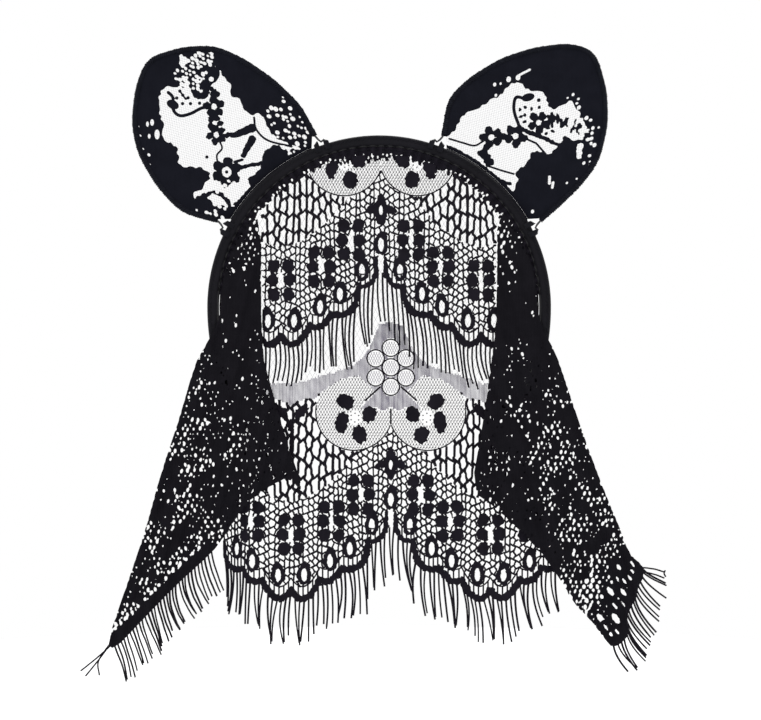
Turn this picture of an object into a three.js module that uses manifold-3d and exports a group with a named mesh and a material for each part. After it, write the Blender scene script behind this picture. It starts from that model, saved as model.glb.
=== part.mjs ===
// A lace mouse-ear headband with a two-tier face veil and side drapes.
// Millimetres. +X to the right of someone facing it, +Z up, -Y out of the veil's front.
// The origin is on the flat middle of the lining under the crown, where the hoop rests on the head.
import * as THREE from "three";
import { mergeVertices } from "three/addons/utils/BufferGeometryUtils.js";
import Module from "manifold-3d";

const wasm = await Module();
wasm.setup();

// --- Driving dimensions ---------------------------------------------------

const clearance = 0.3; // between pieces that touch

const headRadius = 69.4; // lining's inner face over the crown
const armRadius = 100; // slower curve of the two arms, at the middle of the cover
const armTurn = THREE.MathUtils.degToRad(23); // how far each arm follows that curve
const bandWidth = 10; // front to back
const coverDepth = 5; // through the wrapped hoop, inside to outside
const coverCorner = 2.2;
const coverWall = 1.2;
const coreCorner = 0.8;
const liningDepth = 0.5;
const liningWidth = 5;
const capDepth = 1.6;
const capTongue = 2.5;
const hoopSteps = 45; // facets along each sweep
const headingSteps = 36;
const wireSteps = 110;
const bindingSteps = 48;

const earHeight = 75.5; // from the hinge line to the tip of the wire
const earHalfWidth = 37;
const footOuterAngle = THREE.MathUtils.degToRad(62.8); // from the crown
const footInnerAngle = THREE.MathUtils.degToRad(19.5);
const wireRadius = 0.45;
const footLift = 1.4; // wire's bent foot above the cover
const footLength = 2;
const legHeight = 4; // straight wire above the foot
const bindingWall = 0.45;
const laceThickness = 0.6;
const hemLift = 1.5; // ear lace above the cover
const hemRelief = 2; // between its lower edge and the lashings
const legRelief = 1; // between its sides and the tops of the legs
const earTilt = THREE.MathUtils.degToRad(30); // each way

const lashingLength = 6.4;
const lashingWall = 0.9;
const lashingTop = 3.2; // thread bundle over the foot
const lashingSkirt = 3.4; // how far it reaches down the sides of the cover
const lashingSlope = 2.6; // its sloping shoulders
const slotRise = 2; // slot for the leg, past the top of the bundle

const clothThickness = 0.8;
const veilBack = -1.8; // rear face of each cloth, measured along Y
const tierBack = -4;
const drapeBack = -6.2;
const drapeThickness = 2;

const headingDepth = 1.8; // gathered hem under the crown, in front of the lining
const headingWidth = 3.6;
const headingCorner = 0.35;
const headingBack = -1.4;
const headingTurn = THREE.MathUtils.degToRad(86);
const sewingThread = 0.3; // radius
const veilSideGap = 3; // veil's side edges to the lining
const tierFoldDrop = 26; // below the crown
const tierSideDrop = 60; // fold to where its corner is cut
const tierCornerDrop = 73;
const tierCornerInset = 4.2;
const tierDrop = 79.5; // fold to the ends of the eyelashes
const foldRelief = 0.6; // half the space between the two cloths at a fold
const drapeRelief = 2.2; // same, above a thick drape
const pleatGap = 1; // tier to the pleats beside it
const pleatKneeDrop = 88; // where the pleats start to slant
const pleatSlant = 6.7;
const drapeFoldWidth = 86; // outer edge of the drapes at the fold, from the middle
const drapeOverBand = 1.4; // drape's outer edge past the hoop where it comes over it
const drapeOverDrop = 18; // where it has come over, below the arch's centre
const drapeUnderDrop = 8; // where it is still inside

// --- What follows from them -----------------------------------------------

const coverInside = headRadius + liningDepth + clearance;
const coverOutside = coverInside + coverDepth;
const neutralRadius = coverInside + coverDepth / 2;
const liningRadius = headRadius + liningDepth / 2;
const liningArm = armRadius + liningRadius - neutralRadius;
const liningLength = Math.PI * liningRadius + 2 * armTurn * liningArm;
const crownHalfStep = liningLength / hoopSteps / liningRadius / 2;
const archCentre = -headRadius * Math.cos(crownHalfStep); // puts the lining's middle facet at Z = 0
const tipZ = archCentre - armRadius * Math.sin(armTurn);
const armInset = armRadius * (1 - Math.cos(armTurn));
const liningFront = headingBack + clearance; // its front edge, measured along Y
const threadRadius = coverInside - clearance - sewingThread;
const headingRadius = threadRadius - sewingThread - clearance - headingDepth / 2;
const clothRadius = headingRadius - headingDepth / 2 - clearance;
const veilFold = tipZ - capDepth - 3 * clearance;
const tierFold = -tierFoldDrop;
const tierHalfWidth = chordAt(clothRadius, tierFold);
const pleatInner = tierHalfWidth + pleatGap;
const veilHalfWidth = headRadius - armInset - 2 * clearance - liningDepth - veilSideGap;

const earCentreAngle = (footOuterAngle + footInnerAngle) / 2;
const earSpread = (footOuterAngle - footInnerAngle) / 2;
const hingeRadius = coverOutside + footLift;
const hingeRise = hingeRadius * Math.cos(earSpread); // hinge line from the arch's centre
const footHalf = hingeRadius * Math.sin(earSpread);
const bindingInside = wireRadius + clearance;
const bindingOutside = bindingInside + bindingWall;

// Half the chord of a circle around the arch's centre, at height z.
function chordAt(radius, z) {
  return Math.sqrt(radius ** 2 - (z - archCentre) ** 2);
}

// --- Materials ------------------------------------------------------------

const finish = (color, roughness, metalness = 0) =>
  new THREE.MeshStandardMaterial({ color, roughness, metalness });
const springPlastic = finish(0x1b1b1d, 0.45);
const satinRibbon = finish(0x17171c, 0.55);
const blackWire = finish(0x2a2a2d, 0.4, 0.9);
const blackThread = finish(0x121216, 0.8);
const earLace = finish(0x1c1d25, 0.85);
const veilLace = finish(0x22222a, 0.9);
const drapeLace = finish(0x18181d, 0.9);

// --- Shapes and sweeps ----------------------------------------------------

// A rectangle with round corners, around the middle of its plane.
function roundedOutline(width, height, radius, cornerSteps, shiftX = 0) {
  const points = [];
  for (let corner = 0; corner < 4; corner++) {
    const sx = corner === 0 || corner === 3 ? 1 : -1;
    const sy = corner < 2 ? 1 : -1;
    for (let i = 0; i <= cornerSteps; i++) {
      const angle = ((corner + i / cornerSteps) * Math.PI) / 2;
      points.push(
        new THREE.Vector2(
          shiftX + sx * (width / 2 - radius) + radius * Math.cos(angle),
          sy * (height / 2 - radius) + radius * Math.sin(angle),
        ),
      );
    }
  }
  return points;
}

function circleOutline(radius, sides, shiftX = 0) {
  return Array.from({ length: sides }, (_, i) => {
    const angle = (2 * Math.PI * i) / sides;
    return new THREE.Vector2(shiftX + radius * Math.cos(angle), radius * Math.sin(angle));
  });
}

function shapeOf(outline, hole) {
  const shape = new THREE.Shape(outline);
  if (hole) shape.holes.push(new THREE.Path(hole));
  return shape;
}

// The hoop's own line: a half circle over the head, then two arms that curve in more slowly.
class HoopLine extends THREE.Curve {
  constructor(radius, turn = Math.PI / 2 + armTurn) {
    super();
    this.radius = radius;
    this.turn = turn;
  }
  getPoint(t, target = new THREE.Vector3()) {
    const angle = (2 * t - 1) * this.turn;
    const past = Math.max(0, Math.abs(angle) - Math.PI / 2);
    if (past === 0) {
      return target.set(
        this.radius * Math.sin(angle),
        0,
        archCentre + this.radius * Math.cos(angle),
      );
    }
    const arm = armRadius + this.radius - neutralRadius;
    return target.set(
      Math.sign(angle) * (this.radius - arm + arm * Math.cos(past)),
      0,
      archCentre - arm * Math.sin(past),
    );
  }
}

function sweep(shape, path, steps) {
  return new THREE.ExtrudeGeometry(shape, { steps, extrudePath: path, curveSegments: 4 });
}

// A flat cloth whose outline is drawn in X and Z, with its rear face at Y = back.
function cloth(shape, back, thickness) {
  return new THREE.ExtrudeGeometry(shape, {
    depth: thickness,
    bevelEnabled: false,
    curveSegments: 10,
  })
    .rotateX(Math.PI / 2)
    .translate(0, back, 0);
}

function solidOf(geometry) {
  const bare = geometry.clone();
  bare.deleteAttribute("normal");
  bare.deleteAttribute("uv");
  const merged = mergeVertices(bare, 1e-4);
  return new wasm.Manifold(
    new wasm.Mesh({
      numProp: 3,
      vertProperties: merged.attributes.position.array,
      triVerts: new Uint32Array(merged.index.array),
    }),
  );
}

function geometryOf(solid) {
  const { vertProperties, triVerts } = solid.getMesh();
  return new THREE.BufferGeometry()
    .setAttribute("position", new THREE.BufferAttribute(vertProperties, 3))
    .setIndex(new THREE.BufferAttribute(triVerts, 1));
}

function named(name, geometry, material) {
  const mesh = new THREE.Mesh(geometry, material);
  mesh.name = name;
  return mesh;
}

// --- The hoop -------------------------------------------------------------

const boreWidth = bandWidth - 2 * coverWall;
const boreDepth = coverDepth - 2 * coverWall;

function hoopCover() {
  const section = shapeOf(
    roundedOutline(bandWidth, coverDepth, coverCorner, 2),
    roundedOutline(boreWidth, boreDepth, coreCorner, 1),
  );
  return named("hoop_cover", sweep(section, new HoopLine(neutralRadius), hoopSteps), satinRibbon);
}

// The springy strip inside the cover, short of the caps' tongues.
function hoopCore() {
  const section = shapeOf(
    roundedOutline(boreWidth - 2 * clearance, boreDepth - 2 * clearance, coreCorner, 1),
  );
  const turn = Math.PI / 2 + armTurn - (capTongue + 2 * clearance) / armRadius;
  return named("hoop_core", sweep(section, new HoopLine(neutralRadius, turn), hoopSteps), springPlastic);
}

// The flat ribbon that rests on the head, behind the hem. A sweep's section has -Y as its X.
function bandLining() {
  const half = liningDepth / 2;
  const section = new THREE.Shape([
    new THREE.Vector2(-liningFront, half),
    new THREE.Vector2(-liningFront - liningWidth, half),
    new THREE.Vector2(-liningFront - liningWidth, -half),
    new THREE.Vector2(-liningFront, -half),
  ]);
  return named("band_lining", sweep(section, new HoopLine(liningRadius), hoopSteps), satinRibbon);
}

// A cap closes each end of the cover, with a tongue inside it.
function endCap(side, name) {
  const plate = new THREE.ExtrudeGeometry(
    shapeOf(roundedOutline(coverDepth, bandWidth, coverCorner, 2)),
    { depth: capDepth, bevelEnabled: false },
  ).translate(0, 0, clearance);
  const tongue = new THREE.ExtrudeGeometry(
    shapeOf(roundedOutline(boreDepth - 2 * clearance, boreWidth - 2 * clearance, coreCorner, 1)),
    { depth: capTongue + 2 * clearance, bevelEnabled: false },
  ).translate(0, 0, -capTongue);
  const cap = named(name, geometryOf(solidOf(plate).add(solidOf(tongue))), satinRibbon);
  cap.position.set(side * (neutralRadius - armInset), 0, tipZ);
  cap.rotation.y = Math.PI + side * armTurn;
  return cap;
}

// The hem that the veil and the tier are gathered into, and the thread that sews it to the cover.
function veilHeading() {
  const middle = -headingBack + headingWidth / 2;
  const section = shapeOf(roundedOutline(headingWidth, headingDepth, headingCorner, 1, middle));
  const path = new HoopLine(headingRadius, headingTurn);
  return named("veil_heading", sweep(section, path, headingSteps), veilLace);
}

function headingThread() {
  const middle = -headingBack + headingWidth / 2;
  const section = shapeOf(circleOutline(sewingThread, 5, middle));
  const path = new HoopLine(threadRadius, headingTurn);
  return named("heading_thread", sweep(section, path, headingSteps), blackThread);
}

// --- The ears -------------------------------------------------------------
// Each ear is drawn in a frame of its own: local X along its hinge line, local Z away from the hoop.

// The wire's shape between its legs, from the inner foot to the outer one,
// as shares of the half width (across) and of the height (up).
const leftEarShape = [
  [-0.84, 0.25],
  [-0.76, 0.56],
  [-0.53, 0.82],
  [-0.1, 0.97],
  [0.16, 1],
  [0.53, 0.9],
  [0.86, 0.71],
  [1, 0.47],
  [0.98, 0.23],
];
const rightEarShape = [
  [-0.97, 0.25],
  [-0.9, 0.5],
  [-0.69, 0.72],
  [-0.34, 0.92],
  [-0.09, 0.97],
  [0.24, 0.89],
  [0.57, 0.73],
  [0.79, 0.52],
  [0.82, 0.33],
];

const at = (x, z) => new THREE.Vector3(x, 0, z);

// The curve between the tops of the two legs, in the ear's frame, running towards +X.
function earCurve(side, shape) {
  const points = shape.map(([across, up]) => at(side * across * earHalfWidth, up * earHeight));
  points.unshift(at(-side * footHalf, legHeight));
  points.push(at(side * footHalf, legHeight));
  if (side < 0) points.reverse();
  return new THREE.CatmullRomCurve3(points, false, "centripetal");
}

// The whole wire: a foot along the hinge line, a bend, a leg, the ear, and the same again.
function wirePath(curve) {
  const bend = 2 * wireRadius;
  const path = new THREE.CurvePath();
  path.add(new THREE.LineCurve3(at(-footHalf - footLength, 0), at(-footHalf - bend, 0)));
  path.add(
    new THREE.QuadraticBezierCurve3(at(-footHalf - bend, 0), at(-footHalf, 0), at(-footHalf, bend)),
  );
  path.add(new THREE.LineCurve3(at(-footHalf, bend), at(-footHalf, legHeight)));
  path.add(curve);
  path.add(new THREE.LineCurve3(at(footHalf, legHeight), at(footHalf, bend)));
  path.add(
    new THREE.QuadraticBezierCurve3(at(footHalf, bend), at(footHalf, 0), at(footHalf + bend, 0)),
  );
  path.add(new THREE.LineCurve3(at(footHalf + bend, 0), at(footHalf + footLength, 0)));
  return path;
}

function earWire(curve, name) {
  const section = shapeOf(circleOutline(wireRadius, 6));
  return named(name, sweep(section, wirePath(curve), wireSteps), blackWire);
}

// The lace's rolled hem, a sleeve around the wire.
function earBinding(curve, name) {
  const section = shapeOf(
    circleOutline(bindingOutside, 8),
    circleOutline(bindingInside / Math.cos(Math.PI / 6), 6),
  );
  return named(name, sweep(section, curve, bindingSteps), earLace);
}

// The lace that fills the wire, with its lower edge along the hoop.
function earPanel(curve, name) {
  const inset = bindingOutside + clearance;
  const outline = [];
  for (let i = 0; i <= bindingSteps; i++) {
    const p = curve.getPointAt(i / bindingSteps);
    const along = curve.getTangentAt(i / bindingSteps);
    const x = p.x + inset * along.z;
    const z = p.z - inset * along.x;
    if (z > legHeight + legRelief) outline.push(new THREE.Vector2(x, z));
  }
  const hemRadius = coverOutside + hemLift;
  const hemHalf = footHalf - lashingLength / 2 - hemRelief;
  const hemTurn = Math.asin(hemHalf / hemRadius);
  const hemSteps = 12;
  for (let i = 0; i <= hemSteps; i++) {
    const angle = hemTurn * (1 - (2 * i) / hemSteps);
    outline.push(
      new THREE.Vector2(hemRadius * Math.sin(angle), hemRadius * Math.cos(angle) - hingeRise),
    );
  }
  return named(name, cloth(new THREE.Shape(outline), laceThickness / 2, laceThickness), earLace);
}

// Thread wound over the wire's foot and the hoop: a saddle with a channel for the foot
// and a slot that lets the leg swing.
function footLashing(foot, name) {
  const half = bandWidth / 2 + clearance;
  const outer = half + lashingWall;
  const top = clearance + lashingTop;
  const inner = (coverCorner + clearance) * (2 - Math.SQRT2); // clears the cover's round corner
  const section = new THREE.Shape([
    new THREE.Vector2(-outer, -lashingSkirt),
    new THREE.Vector2(-half, -lashingSkirt),
    new THREE.Vector2(-half, clearance - inner),
    new THREE.Vector2(inner - half, clearance),
    new THREE.Vector2(half - inner, clearance),
    new THREE.Vector2(half, clearance - inner),
    new THREE.Vector2(half, -lashingSkirt),
    new THREE.Vector2(outer, -lashingSkirt),
    new THREE.Vector2(outer, top - lashingSlope),
    new THREE.Vector2(outer - lashingSlope, top),
    new THREE.Vector2(lashingSlope - outer, top),
    new THREE.Vector2(-outer, top - lashingSlope),
  ]);
  const turn = foot * earSpread;
  const saddle = new THREE.ExtrudeGeometry(section, { depth: lashingLength, bevelEnabled: false })
    .translate(0, 0, -lashingLength / 2)
    .applyMatrix4(new THREE.Matrix4().makeBasis(at(0, 0).setY(1), at(0, 1), at(1, 0)))
    .rotateY(turn)
    .translate(coverOutside * Math.sin(turn), 0, coverOutside * Math.cos(turn) - hingeRise);
  const channelRadius = wireRadius + clearance;
  const channelLength = footLength + wireRadius + clearance;
  const channel = new THREE.CylinderGeometry(channelRadius, channelRadius, channelLength, 12)
    .rotateZ(Math.PI / 2)
    .translate(foot * (footHalf - wireRadius + channelLength / 2), 0, 0);
  const slotHeight = lashingTop + slotRise;
  const slotSwing = 2 * (slotHeight * Math.tan(earTilt) + channelRadius);
  const slot = new THREE.BoxGeometry(2 * channelRadius + clearance, slotSwing, slotHeight).translate(
    foot * footHalf,
    0,
    slotHeight / 2,
  );
  const made = solidOf(saddle).subtract(solidOf(channel)).subtract(solidOf(slot));
  return named(name, geometryOf(made), blackThread);
}

function ear(side, word, shape) {
  const group = new THREE.Group();
  const curve = earCurve(side, shape);
  group.add(earWire(curve, "ear_wire_" + word));
  group.add(earBinding(curve, "ear_binding_" + word));
  group.add(earPanel(curve, "ear_lace_" + word));
  group.add(footLashing(-side, "foot_lashing_inner_" + word));
  group.add(footLashing(side, "foot_lashing_outer_" + word));
  group.position.set(
    side * hingeRise * Math.sin(earCentreAngle),
    0,
    archCentre + hingeRise * Math.cos(earCentreAngle),
  );
  group.rotation.y = side * earCentreAngle;
  return group;
}

// --- The veil -------------------------------------------------------------
// Each cloth is one length of lace, cut here at the line it folds along when it is lifted.

// The part of a cloth between the gathered hem and a fold line.
function yokeShape(halfWidth, bottom) {
  const side = Math.acos(halfWidth / clothRadius);
  const shape = new THREE.Shape();
  shape.moveTo(-halfWidth, bottom);
  shape.lineTo(halfWidth, bottom);
  shape.lineTo(halfWidth, archCentre + clothRadius * Math.sin(side));
  shape.absarc(0, archCentre, clothRadius, side, Math.PI - side, false);
  return shape;
}

function veilYoke() {
  const shape = yokeShape(veilHalfWidth, veilFold + foldRelief);
  return named("veil_yoke", cloth(shape, veilBack, clothThickness), veilLace);
}

function tierYoke() {
  const bottom = tierFold + foldRelief;
  const shape = yokeShape(chordAt(clothRadius, bottom) - clearance, bottom);
  return named("tier_yoke", cloth(shape, tierBack, clothThickness), veilLace);
}

const point = (x, z) => new THREE.Vector2(x, z);

// One of the upper tier's two scallops, from its lowest point to the middle,
// as [out from the middle, above the lowest point].
const tierScallop = [
  [30, 0],
  [14, 7],
  [0, 24],
];

// The upper tier: two deep scallops that meet in the middle.
function tierFlap() {
  const low = tierFold - tierDrop;
  const corner = point(tierHalfWidth - tierCornerInset, tierFold - tierCornerDrop);
  const scallop = (side) => tierScallop.map(([out, rise]) => point(side * out, low + rise));
  const shape = new THREE.Shape();
  shape.moveTo(tierHalfWidth, tierFold - foldRelief);
  shape.lineTo(-tierHalfWidth, tierFold - foldRelief);
  shape.lineTo(-tierHalfWidth, tierFold - tierSideDrop);
  shape.lineTo(-corner.x, corner.y);
  shape.splineThru(scallop(-1));
  shape.splineThru([...scallop(1).reverse().slice(1), corner]);
  shape.lineTo(tierHalfWidth, tierFold - tierSideDrop);
  return named("tier_flap", cloth(shape, tierBack, clothThickness), veilLace);
}

// The lower tier's outline from its left side round to its right, as [across, below its fold].
const skirtSideLeft = [-66.5, 60];
const skirtSideRight = [78, 60];
const skirtScallops = [
  [-64.5, 80],
  [-45, 105],
  [-17, 102],
  [5, 84],
  [27, 102],
  [61, 103],
  [80, 89],
];

// The lower tier's own scallops, below its fold.
function veilSkirt() {
  const below = ([across, drop]) => point(across, veilFold - drop);
  const left = below(skirtSideLeft);
  const right = below(skirtSideRight);
  const shape = new THREE.Shape();
  shape.moveTo(veilHalfWidth, veilFold - foldRelief);
  shape.lineTo(-veilHalfWidth, veilFold - foldRelief);
  shape.lineTo(left.x, left.y);
  shape.splineThru(skirtScallops.map(below));
  shape.lineTo(right.x, right.y);
  return named("veil_skirt", cloth(shape, veilBack, clothThickness), veilLace);
}

// The pleats at each side: down inside the hoop, then out over its front.
function drapePleat(side, word) {
  const bottom = veilFold + drapeRelief;
  const outside = coverOutside + drapeOverBand;
  const inside = headRadius - clearance;
  const start = Math.acos(pleatInner / inside);
  const outline = [
    point(pleatInner, archCentre + inside * Math.sin(start)),
    point(pleatInner, -pleatKneeDrop),
    point(pleatInner - pleatSlant, bottom),
    point(drapeFoldWidth, bottom),
    point(outside, archCentre - drapeOverDrop),
    point(inside, archCentre - drapeUnderDrop),
  ];
  const steps = 8;
  for (let i = 0; i < steps; i++) {
    const angle = (start * i) / steps;
    outline.push(point(inside * Math.cos(angle), archCentre + inside * Math.sin(angle)));
  }
  const shape = new THREE.Shape(outline.map((p) => point(side * p.x, p.y)));
  return named("drape_pleat_" + word, cloth(shape, drapeBack, drapeThickness), drapeLace);
}

// What hangs below the fold, as [out from the middle, below the fold], from the inner edge round.
const leftTail = [
  [32.5, 39.5],
  [47, 37],
  [62, 60],
  [68.5, 81],
  [82.5, 97],
  [96, 106],
  [111, 114.5],
  [121, 119],
  [117.5, 104],
  [109, 74],
  [97, 41],
  [91, 15],
];
const rightTail = [
  [39.5, 37],
  [50, 44],
  [85.5, 81],
  [96, 103],
  [109.5, 118],
  [118, 103],
  [124.5, 85],
  [125.5, 73],
  [118, 71.5],
  [110, 67.5],
  [99, 41.5],
  [89.5, 15],
];

function drapeTail(side, word, tail) {
  const top = veilFold - foldRelief;
  const outline = [
    [pleatInner - pleatSlant, foldRelief],
    ...tail,
    [drapeFoldWidth, foldRelief],
  ];
  const shape = new THREE.Shape(
    outline.map(([out, drop]) => point(side * out, Math.min(top, veilFold - drop))),
  );
  return named("drape_tail_" + word, cloth(shape, drapeBack, drapeThickness), drapeLace);
}

// --- Assembly -------------------------------------------------------------

const headband = new THREE.Group();
headband.add(
  hoopCore(),
  hoopCover(),
  bandLining(),
  endCap(-1, "end_cap_left"),
  endCap(1, "end_cap_right"),
  veilHeading(),
  headingThread(),
  ear(-1, "left", leftEarShape),
  ear(1, "right", rightEarShape),
  veilYoke(),
  veilSkirt(),
  tierYoke(),
  tierFlap(),
  drapePleat(-1, "left"),
  drapePleat(1, "right"),
  drapeTail(-1, "left", leftTail),
  drapeTail(1, "right", rightTail),
);

export default headband;
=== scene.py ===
"""A lace animal-ears headband: wrapped hoop, two wired lace ears, a two-tier veil and side drapes.

Sizes in the pattern functions are millimetres; meshes are made in metres.
"""

import math

import bpy
import numpy as np
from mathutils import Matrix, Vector


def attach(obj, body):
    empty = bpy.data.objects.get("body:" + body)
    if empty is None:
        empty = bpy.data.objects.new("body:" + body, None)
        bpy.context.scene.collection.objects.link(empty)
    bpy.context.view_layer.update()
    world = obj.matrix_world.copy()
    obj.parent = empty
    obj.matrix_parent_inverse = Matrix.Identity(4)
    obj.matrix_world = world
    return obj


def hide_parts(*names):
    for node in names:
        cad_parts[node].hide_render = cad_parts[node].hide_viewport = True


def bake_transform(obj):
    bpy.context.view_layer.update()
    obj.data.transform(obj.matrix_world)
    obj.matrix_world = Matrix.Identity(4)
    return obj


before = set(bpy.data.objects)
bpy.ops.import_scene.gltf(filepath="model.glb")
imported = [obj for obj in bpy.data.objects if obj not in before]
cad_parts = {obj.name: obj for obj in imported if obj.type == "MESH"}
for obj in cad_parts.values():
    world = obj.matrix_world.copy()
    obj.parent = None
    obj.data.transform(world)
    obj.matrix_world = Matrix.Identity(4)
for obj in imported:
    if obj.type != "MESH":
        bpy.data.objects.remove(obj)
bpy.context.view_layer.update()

MM = 0.001
SEED = 11

# --- Sizes shared with the frame --------------------------------------------

ARCH_CENTRE = -69.32  # height of the hoop's centre
COVER_INSIDE = 70.2
COVER_OUTSIDE = 75.2
BAND_HALF = 5.0
ARM_RADIUS = 100.0
ARM_TURN = math.radians(23)
CAP_END = 2.2  # fabric past the hoop's ends
CLOTH_RADIUS = 66.9
EAR_HALF_WIDTH = 37.0
EAR_HEIGHT = 75.5
EAR_TURN = math.radians(41.15)
HINGE_RISE = 71.196
FOOT_HALF = 28.26
LEG_HEIGHT = 4.0
HEM_LIFT = 0.6

VEIL_Y = -2.2  # middle of each cloth's thickness
TIER_Y = -4.4
DRAPE_Y = -7.4

TIER_CENTRE, TIER_VALLEY = 0.8, -58.5  # where each tier's middle valley hangs
SKIRT_CENTRE, SKIRT_VALLEY = 5.1, -169.6
LASH_RADIUS = 0.47


# --- Camera, floor and light --------------------------------------------------


def set_stage():
    scene = bpy.context.scene
    camera = bpy.data.objects.new("camera", bpy.data.cameras.new("camera"))
    scene.collection.objects.link(camera)
    camera.data.lens = 100
    camera.data.sensor_width = 36
    camera.location = (0.0006, -0.926, -0.0924)
    camera.rotation_euler = (math.radians(90), 0, 0)
    scene.camera = camera

    world = bpy.data.worlds.new("white_surround")
    world.use_nodes = True
    world.node_tree.nodes["Background"].inputs["Color"].default_value = (1, 1, 1, 1)
    world.node_tree.nodes["Background"].inputs["Strength"].default_value = 1.0
    scene.world = world
    scene.view_settings.view_transform = "Standard"

    rim = [(0.42 * math.cos(t), 0.42 * math.sin(t), -0.262) for t in np.linspace(0, 2 * math.pi, 97)[:-1]]
    floor_mesh = bpy.data.meshes.new("pale_floor")
    floor_mesh.from_pydata(rim, [], [list(range(len(rim)))])
    floor = bpy.data.objects.new("pale_floor", floor_mesh)
    scene.collection.objects.link(floor)
    pale = bpy.data.materials.new("pale_floor")
    pale.use_nodes = True
    shader = pale.node_tree.nodes["Principled BSDF"]
    shader.inputs["Base Color"].default_value = (0.93, 0.93, 0.94, 1)
    shader.inputs["Roughness"].default_value = 0.85
    floor_mesh.materials.append(pale)

    for name, place, size, power in (
        ("soft_key", (-0.55, -0.75, 0.55), 0.7, 5.0),
        ("soft_fill", (0.7, -0.6, 0.1), 0.8, 2.2),
        ("soft_back", (0.1, 0.8, 0.5), 0.7, 4.0),
    ):
        lamp = bpy.data.lights.new(name, "AREA")
        lamp.energy = power
        lamp.size = size
        obj = bpy.data.objects.new(name, lamp)
        obj.location = place
        aim = Vector((0, 0, -0.09)) - Vector(place)
        obj.rotation_euler = aim.to_track_quat("-Z", "Y").to_euler()
        scene.collection.objects.link(obj)


# --- Materials ----------------------------------------------------------------


# A Mix node keeps its sockets of every kind; these are the ones for colour.
MIX_COLOUR_INPUTS = (6, 7)
MIX_COLOUR_OUTPUT = 2
WAVE_PER_RIB = 0.314  # the wave texture's scale for one rib to a unit


class Finish:
    """Builds one procedural material on Object coordinates."""

    def __init__(self, name):
        self.material = bpy.data.materials.new(name)
        self.material.use_nodes = True
        self.tree = self.material.node_tree
        self.shader = self.tree.nodes["Principled BSDF"]
        self.place = self.tree.nodes.new("ShaderNodeTexCoord").outputs["Object"]

    def node(self, kind, **values):
        node = self.tree.nodes.new(kind)
        for key, value in values.items():
            setattr(node, key, value)
        return node

    def link(self, a, b):
        self.tree.links.new(a, b)

    def turned(self, angles, scale=(1, 1, 1)):
        mapping = self.node("ShaderNodeMapping")
        mapping.inputs["Rotation"].default_value = angles
        mapping.inputs["Scale"].default_value = scale
        self.link(self.place, mapping.inputs["Vector"])
        return mapping.outputs["Vector"]

    def noise(self, size, detail=2.0):
        """Noise whose blotches are about size millimetres across."""
        noise = self.node("ShaderNodeTexNoise")
        noise.inputs["Scale"].default_value = 1 / (size * MM)
        noise.inputs["Detail"].default_value = detail
        self.link(self.place, noise.inputs["Vector"])
        return noise.outputs["Fac"]

    def ribs(self, pitch, vector, bend=0.4):
        """Threads pitch millimetres apart, across the vector's X."""
        wave = self.node("ShaderNodeTexWave", wave_type="BANDS", bands_direction="X")
        wave.inputs["Scale"].default_value = 1 / (pitch * MM) * WAVE_PER_RIB
        wave.inputs["Distortion"].default_value = bend
        wave.inputs["Detail"].default_value = 1.0
        self.link(vector, wave.inputs["Vector"])
        return wave.outputs["Fac"]

    def mixed(self, share, a, b):
        mix = self.node("ShaderNodeMix", data_type="RGBA")
        self.link(share, mix.inputs[0])
        for slot, value in zip(MIX_COLOUR_INPUTS, (a, b)):
            if isinstance(value, bpy.types.NodeSocket):
                self.link(value, mix.inputs[slot])
            else:
                mix.inputs[slot].default_value = value
        return mix.outputs[MIX_COLOUR_OUTPUT]

    def spread(self, value, low, high):
        """Maps a 0 to 1 value onto low to high."""
        mapped = self.node("ShaderNodeMapRange")
        mapped.inputs["To Min"].default_value = low
        mapped.inputs["To Max"].default_value = high
        self.link(value, mapped.inputs["Value"])
        return mapped.outputs["Result"]

    def times(self, a, b):
        math_node = self.node("ShaderNodeMath", operation="MULTIPLY")
        self.link(a, math_node.inputs[0])
        self.link(b, math_node.inputs[1])
        return math_node.outputs[0]

    def relief(self, height, depth):
        """Bump of depth millimetres."""
        bump = self.node("ShaderNodeBump")
        bump.inputs["Distance"].default_value = depth * MM
        bump.inputs["Strength"].default_value = 1.0
        self.link(height, bump.inputs["Height"])
        self.link(bump.outputs["Normal"], self.shader.inputs["Normal"])

    def set(self, **values):
        for key, value in values.items():
            self.shader.inputs[key.replace("_", " ")].default_value = value


def colour(r, g, b):
    return (r, g, b, 1)


def lace_cloth(name, dark, light, rib):
    """Dense cloth stitch: fine warp ribs crossed by the weft, lighter and dusty on the raised threads: partly
    rubbed wear, partly a painted highlight.
    """
    f = Finish(name)
    warp = f.ribs(rib, f.turned((0, 0, 0)))
    weft = f.ribs(rib * 0.8, f.turned((0, math.radians(90), 0)))
    weave = f.times(warp, weft)
    patches = f.noise(7.0, 3.0)
    base = f.mixed(f.spread(patches, -0.2, 1.0), colour(*dark), colour(*light))
    # lighter colour laid on the raised threads: partly rubbed wear, partly a painted highlight on their crests
    rubbed = colour(*[c * 1.7 for c in light])
    f.link(f.mixed(f.spread(weave, 0.0, 0.35), base, rubbed), f.shader.inputs["Base Color"])
    f.link(f.spread(weave, 0.92, 0.68), f.shader.inputs["Roughness"])
    f.relief(weave, 0.12)
    f.set(Sheen_Weight=0.006, Sheen_Roughness=0.4, Sheen_Tint=colour(0.5, 0.5, 0.7), Specular_IOR_Level=0.05)
    return f.material


def spun_thread(name, dark, light, twist=0.5, roughness=0.75, sheen=0.006):
    """Twisted yarn: slanting plies, with slubs that catch the light."""
    f = Finish(name)
    plies = f.ribs(twist, f.turned((0, math.radians(38), 0)), 1.5)
    slubs = f.noise(2.5, 2.0)
    base = f.mixed(slubs, colour(*dark), colour(*light))
    f.link(base, f.shader.inputs["Base Color"])
    f.link(f.spread(plies, roughness - 0.1, roughness + 0.12), f.shader.inputs["Roughness"])
    f.relief(plies, 0.08)
    f.set(Sheen_Weight=sheen, Sheen_Roughness=0.4, Specular_IOR_Level=0.06)
    return f.material


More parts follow.
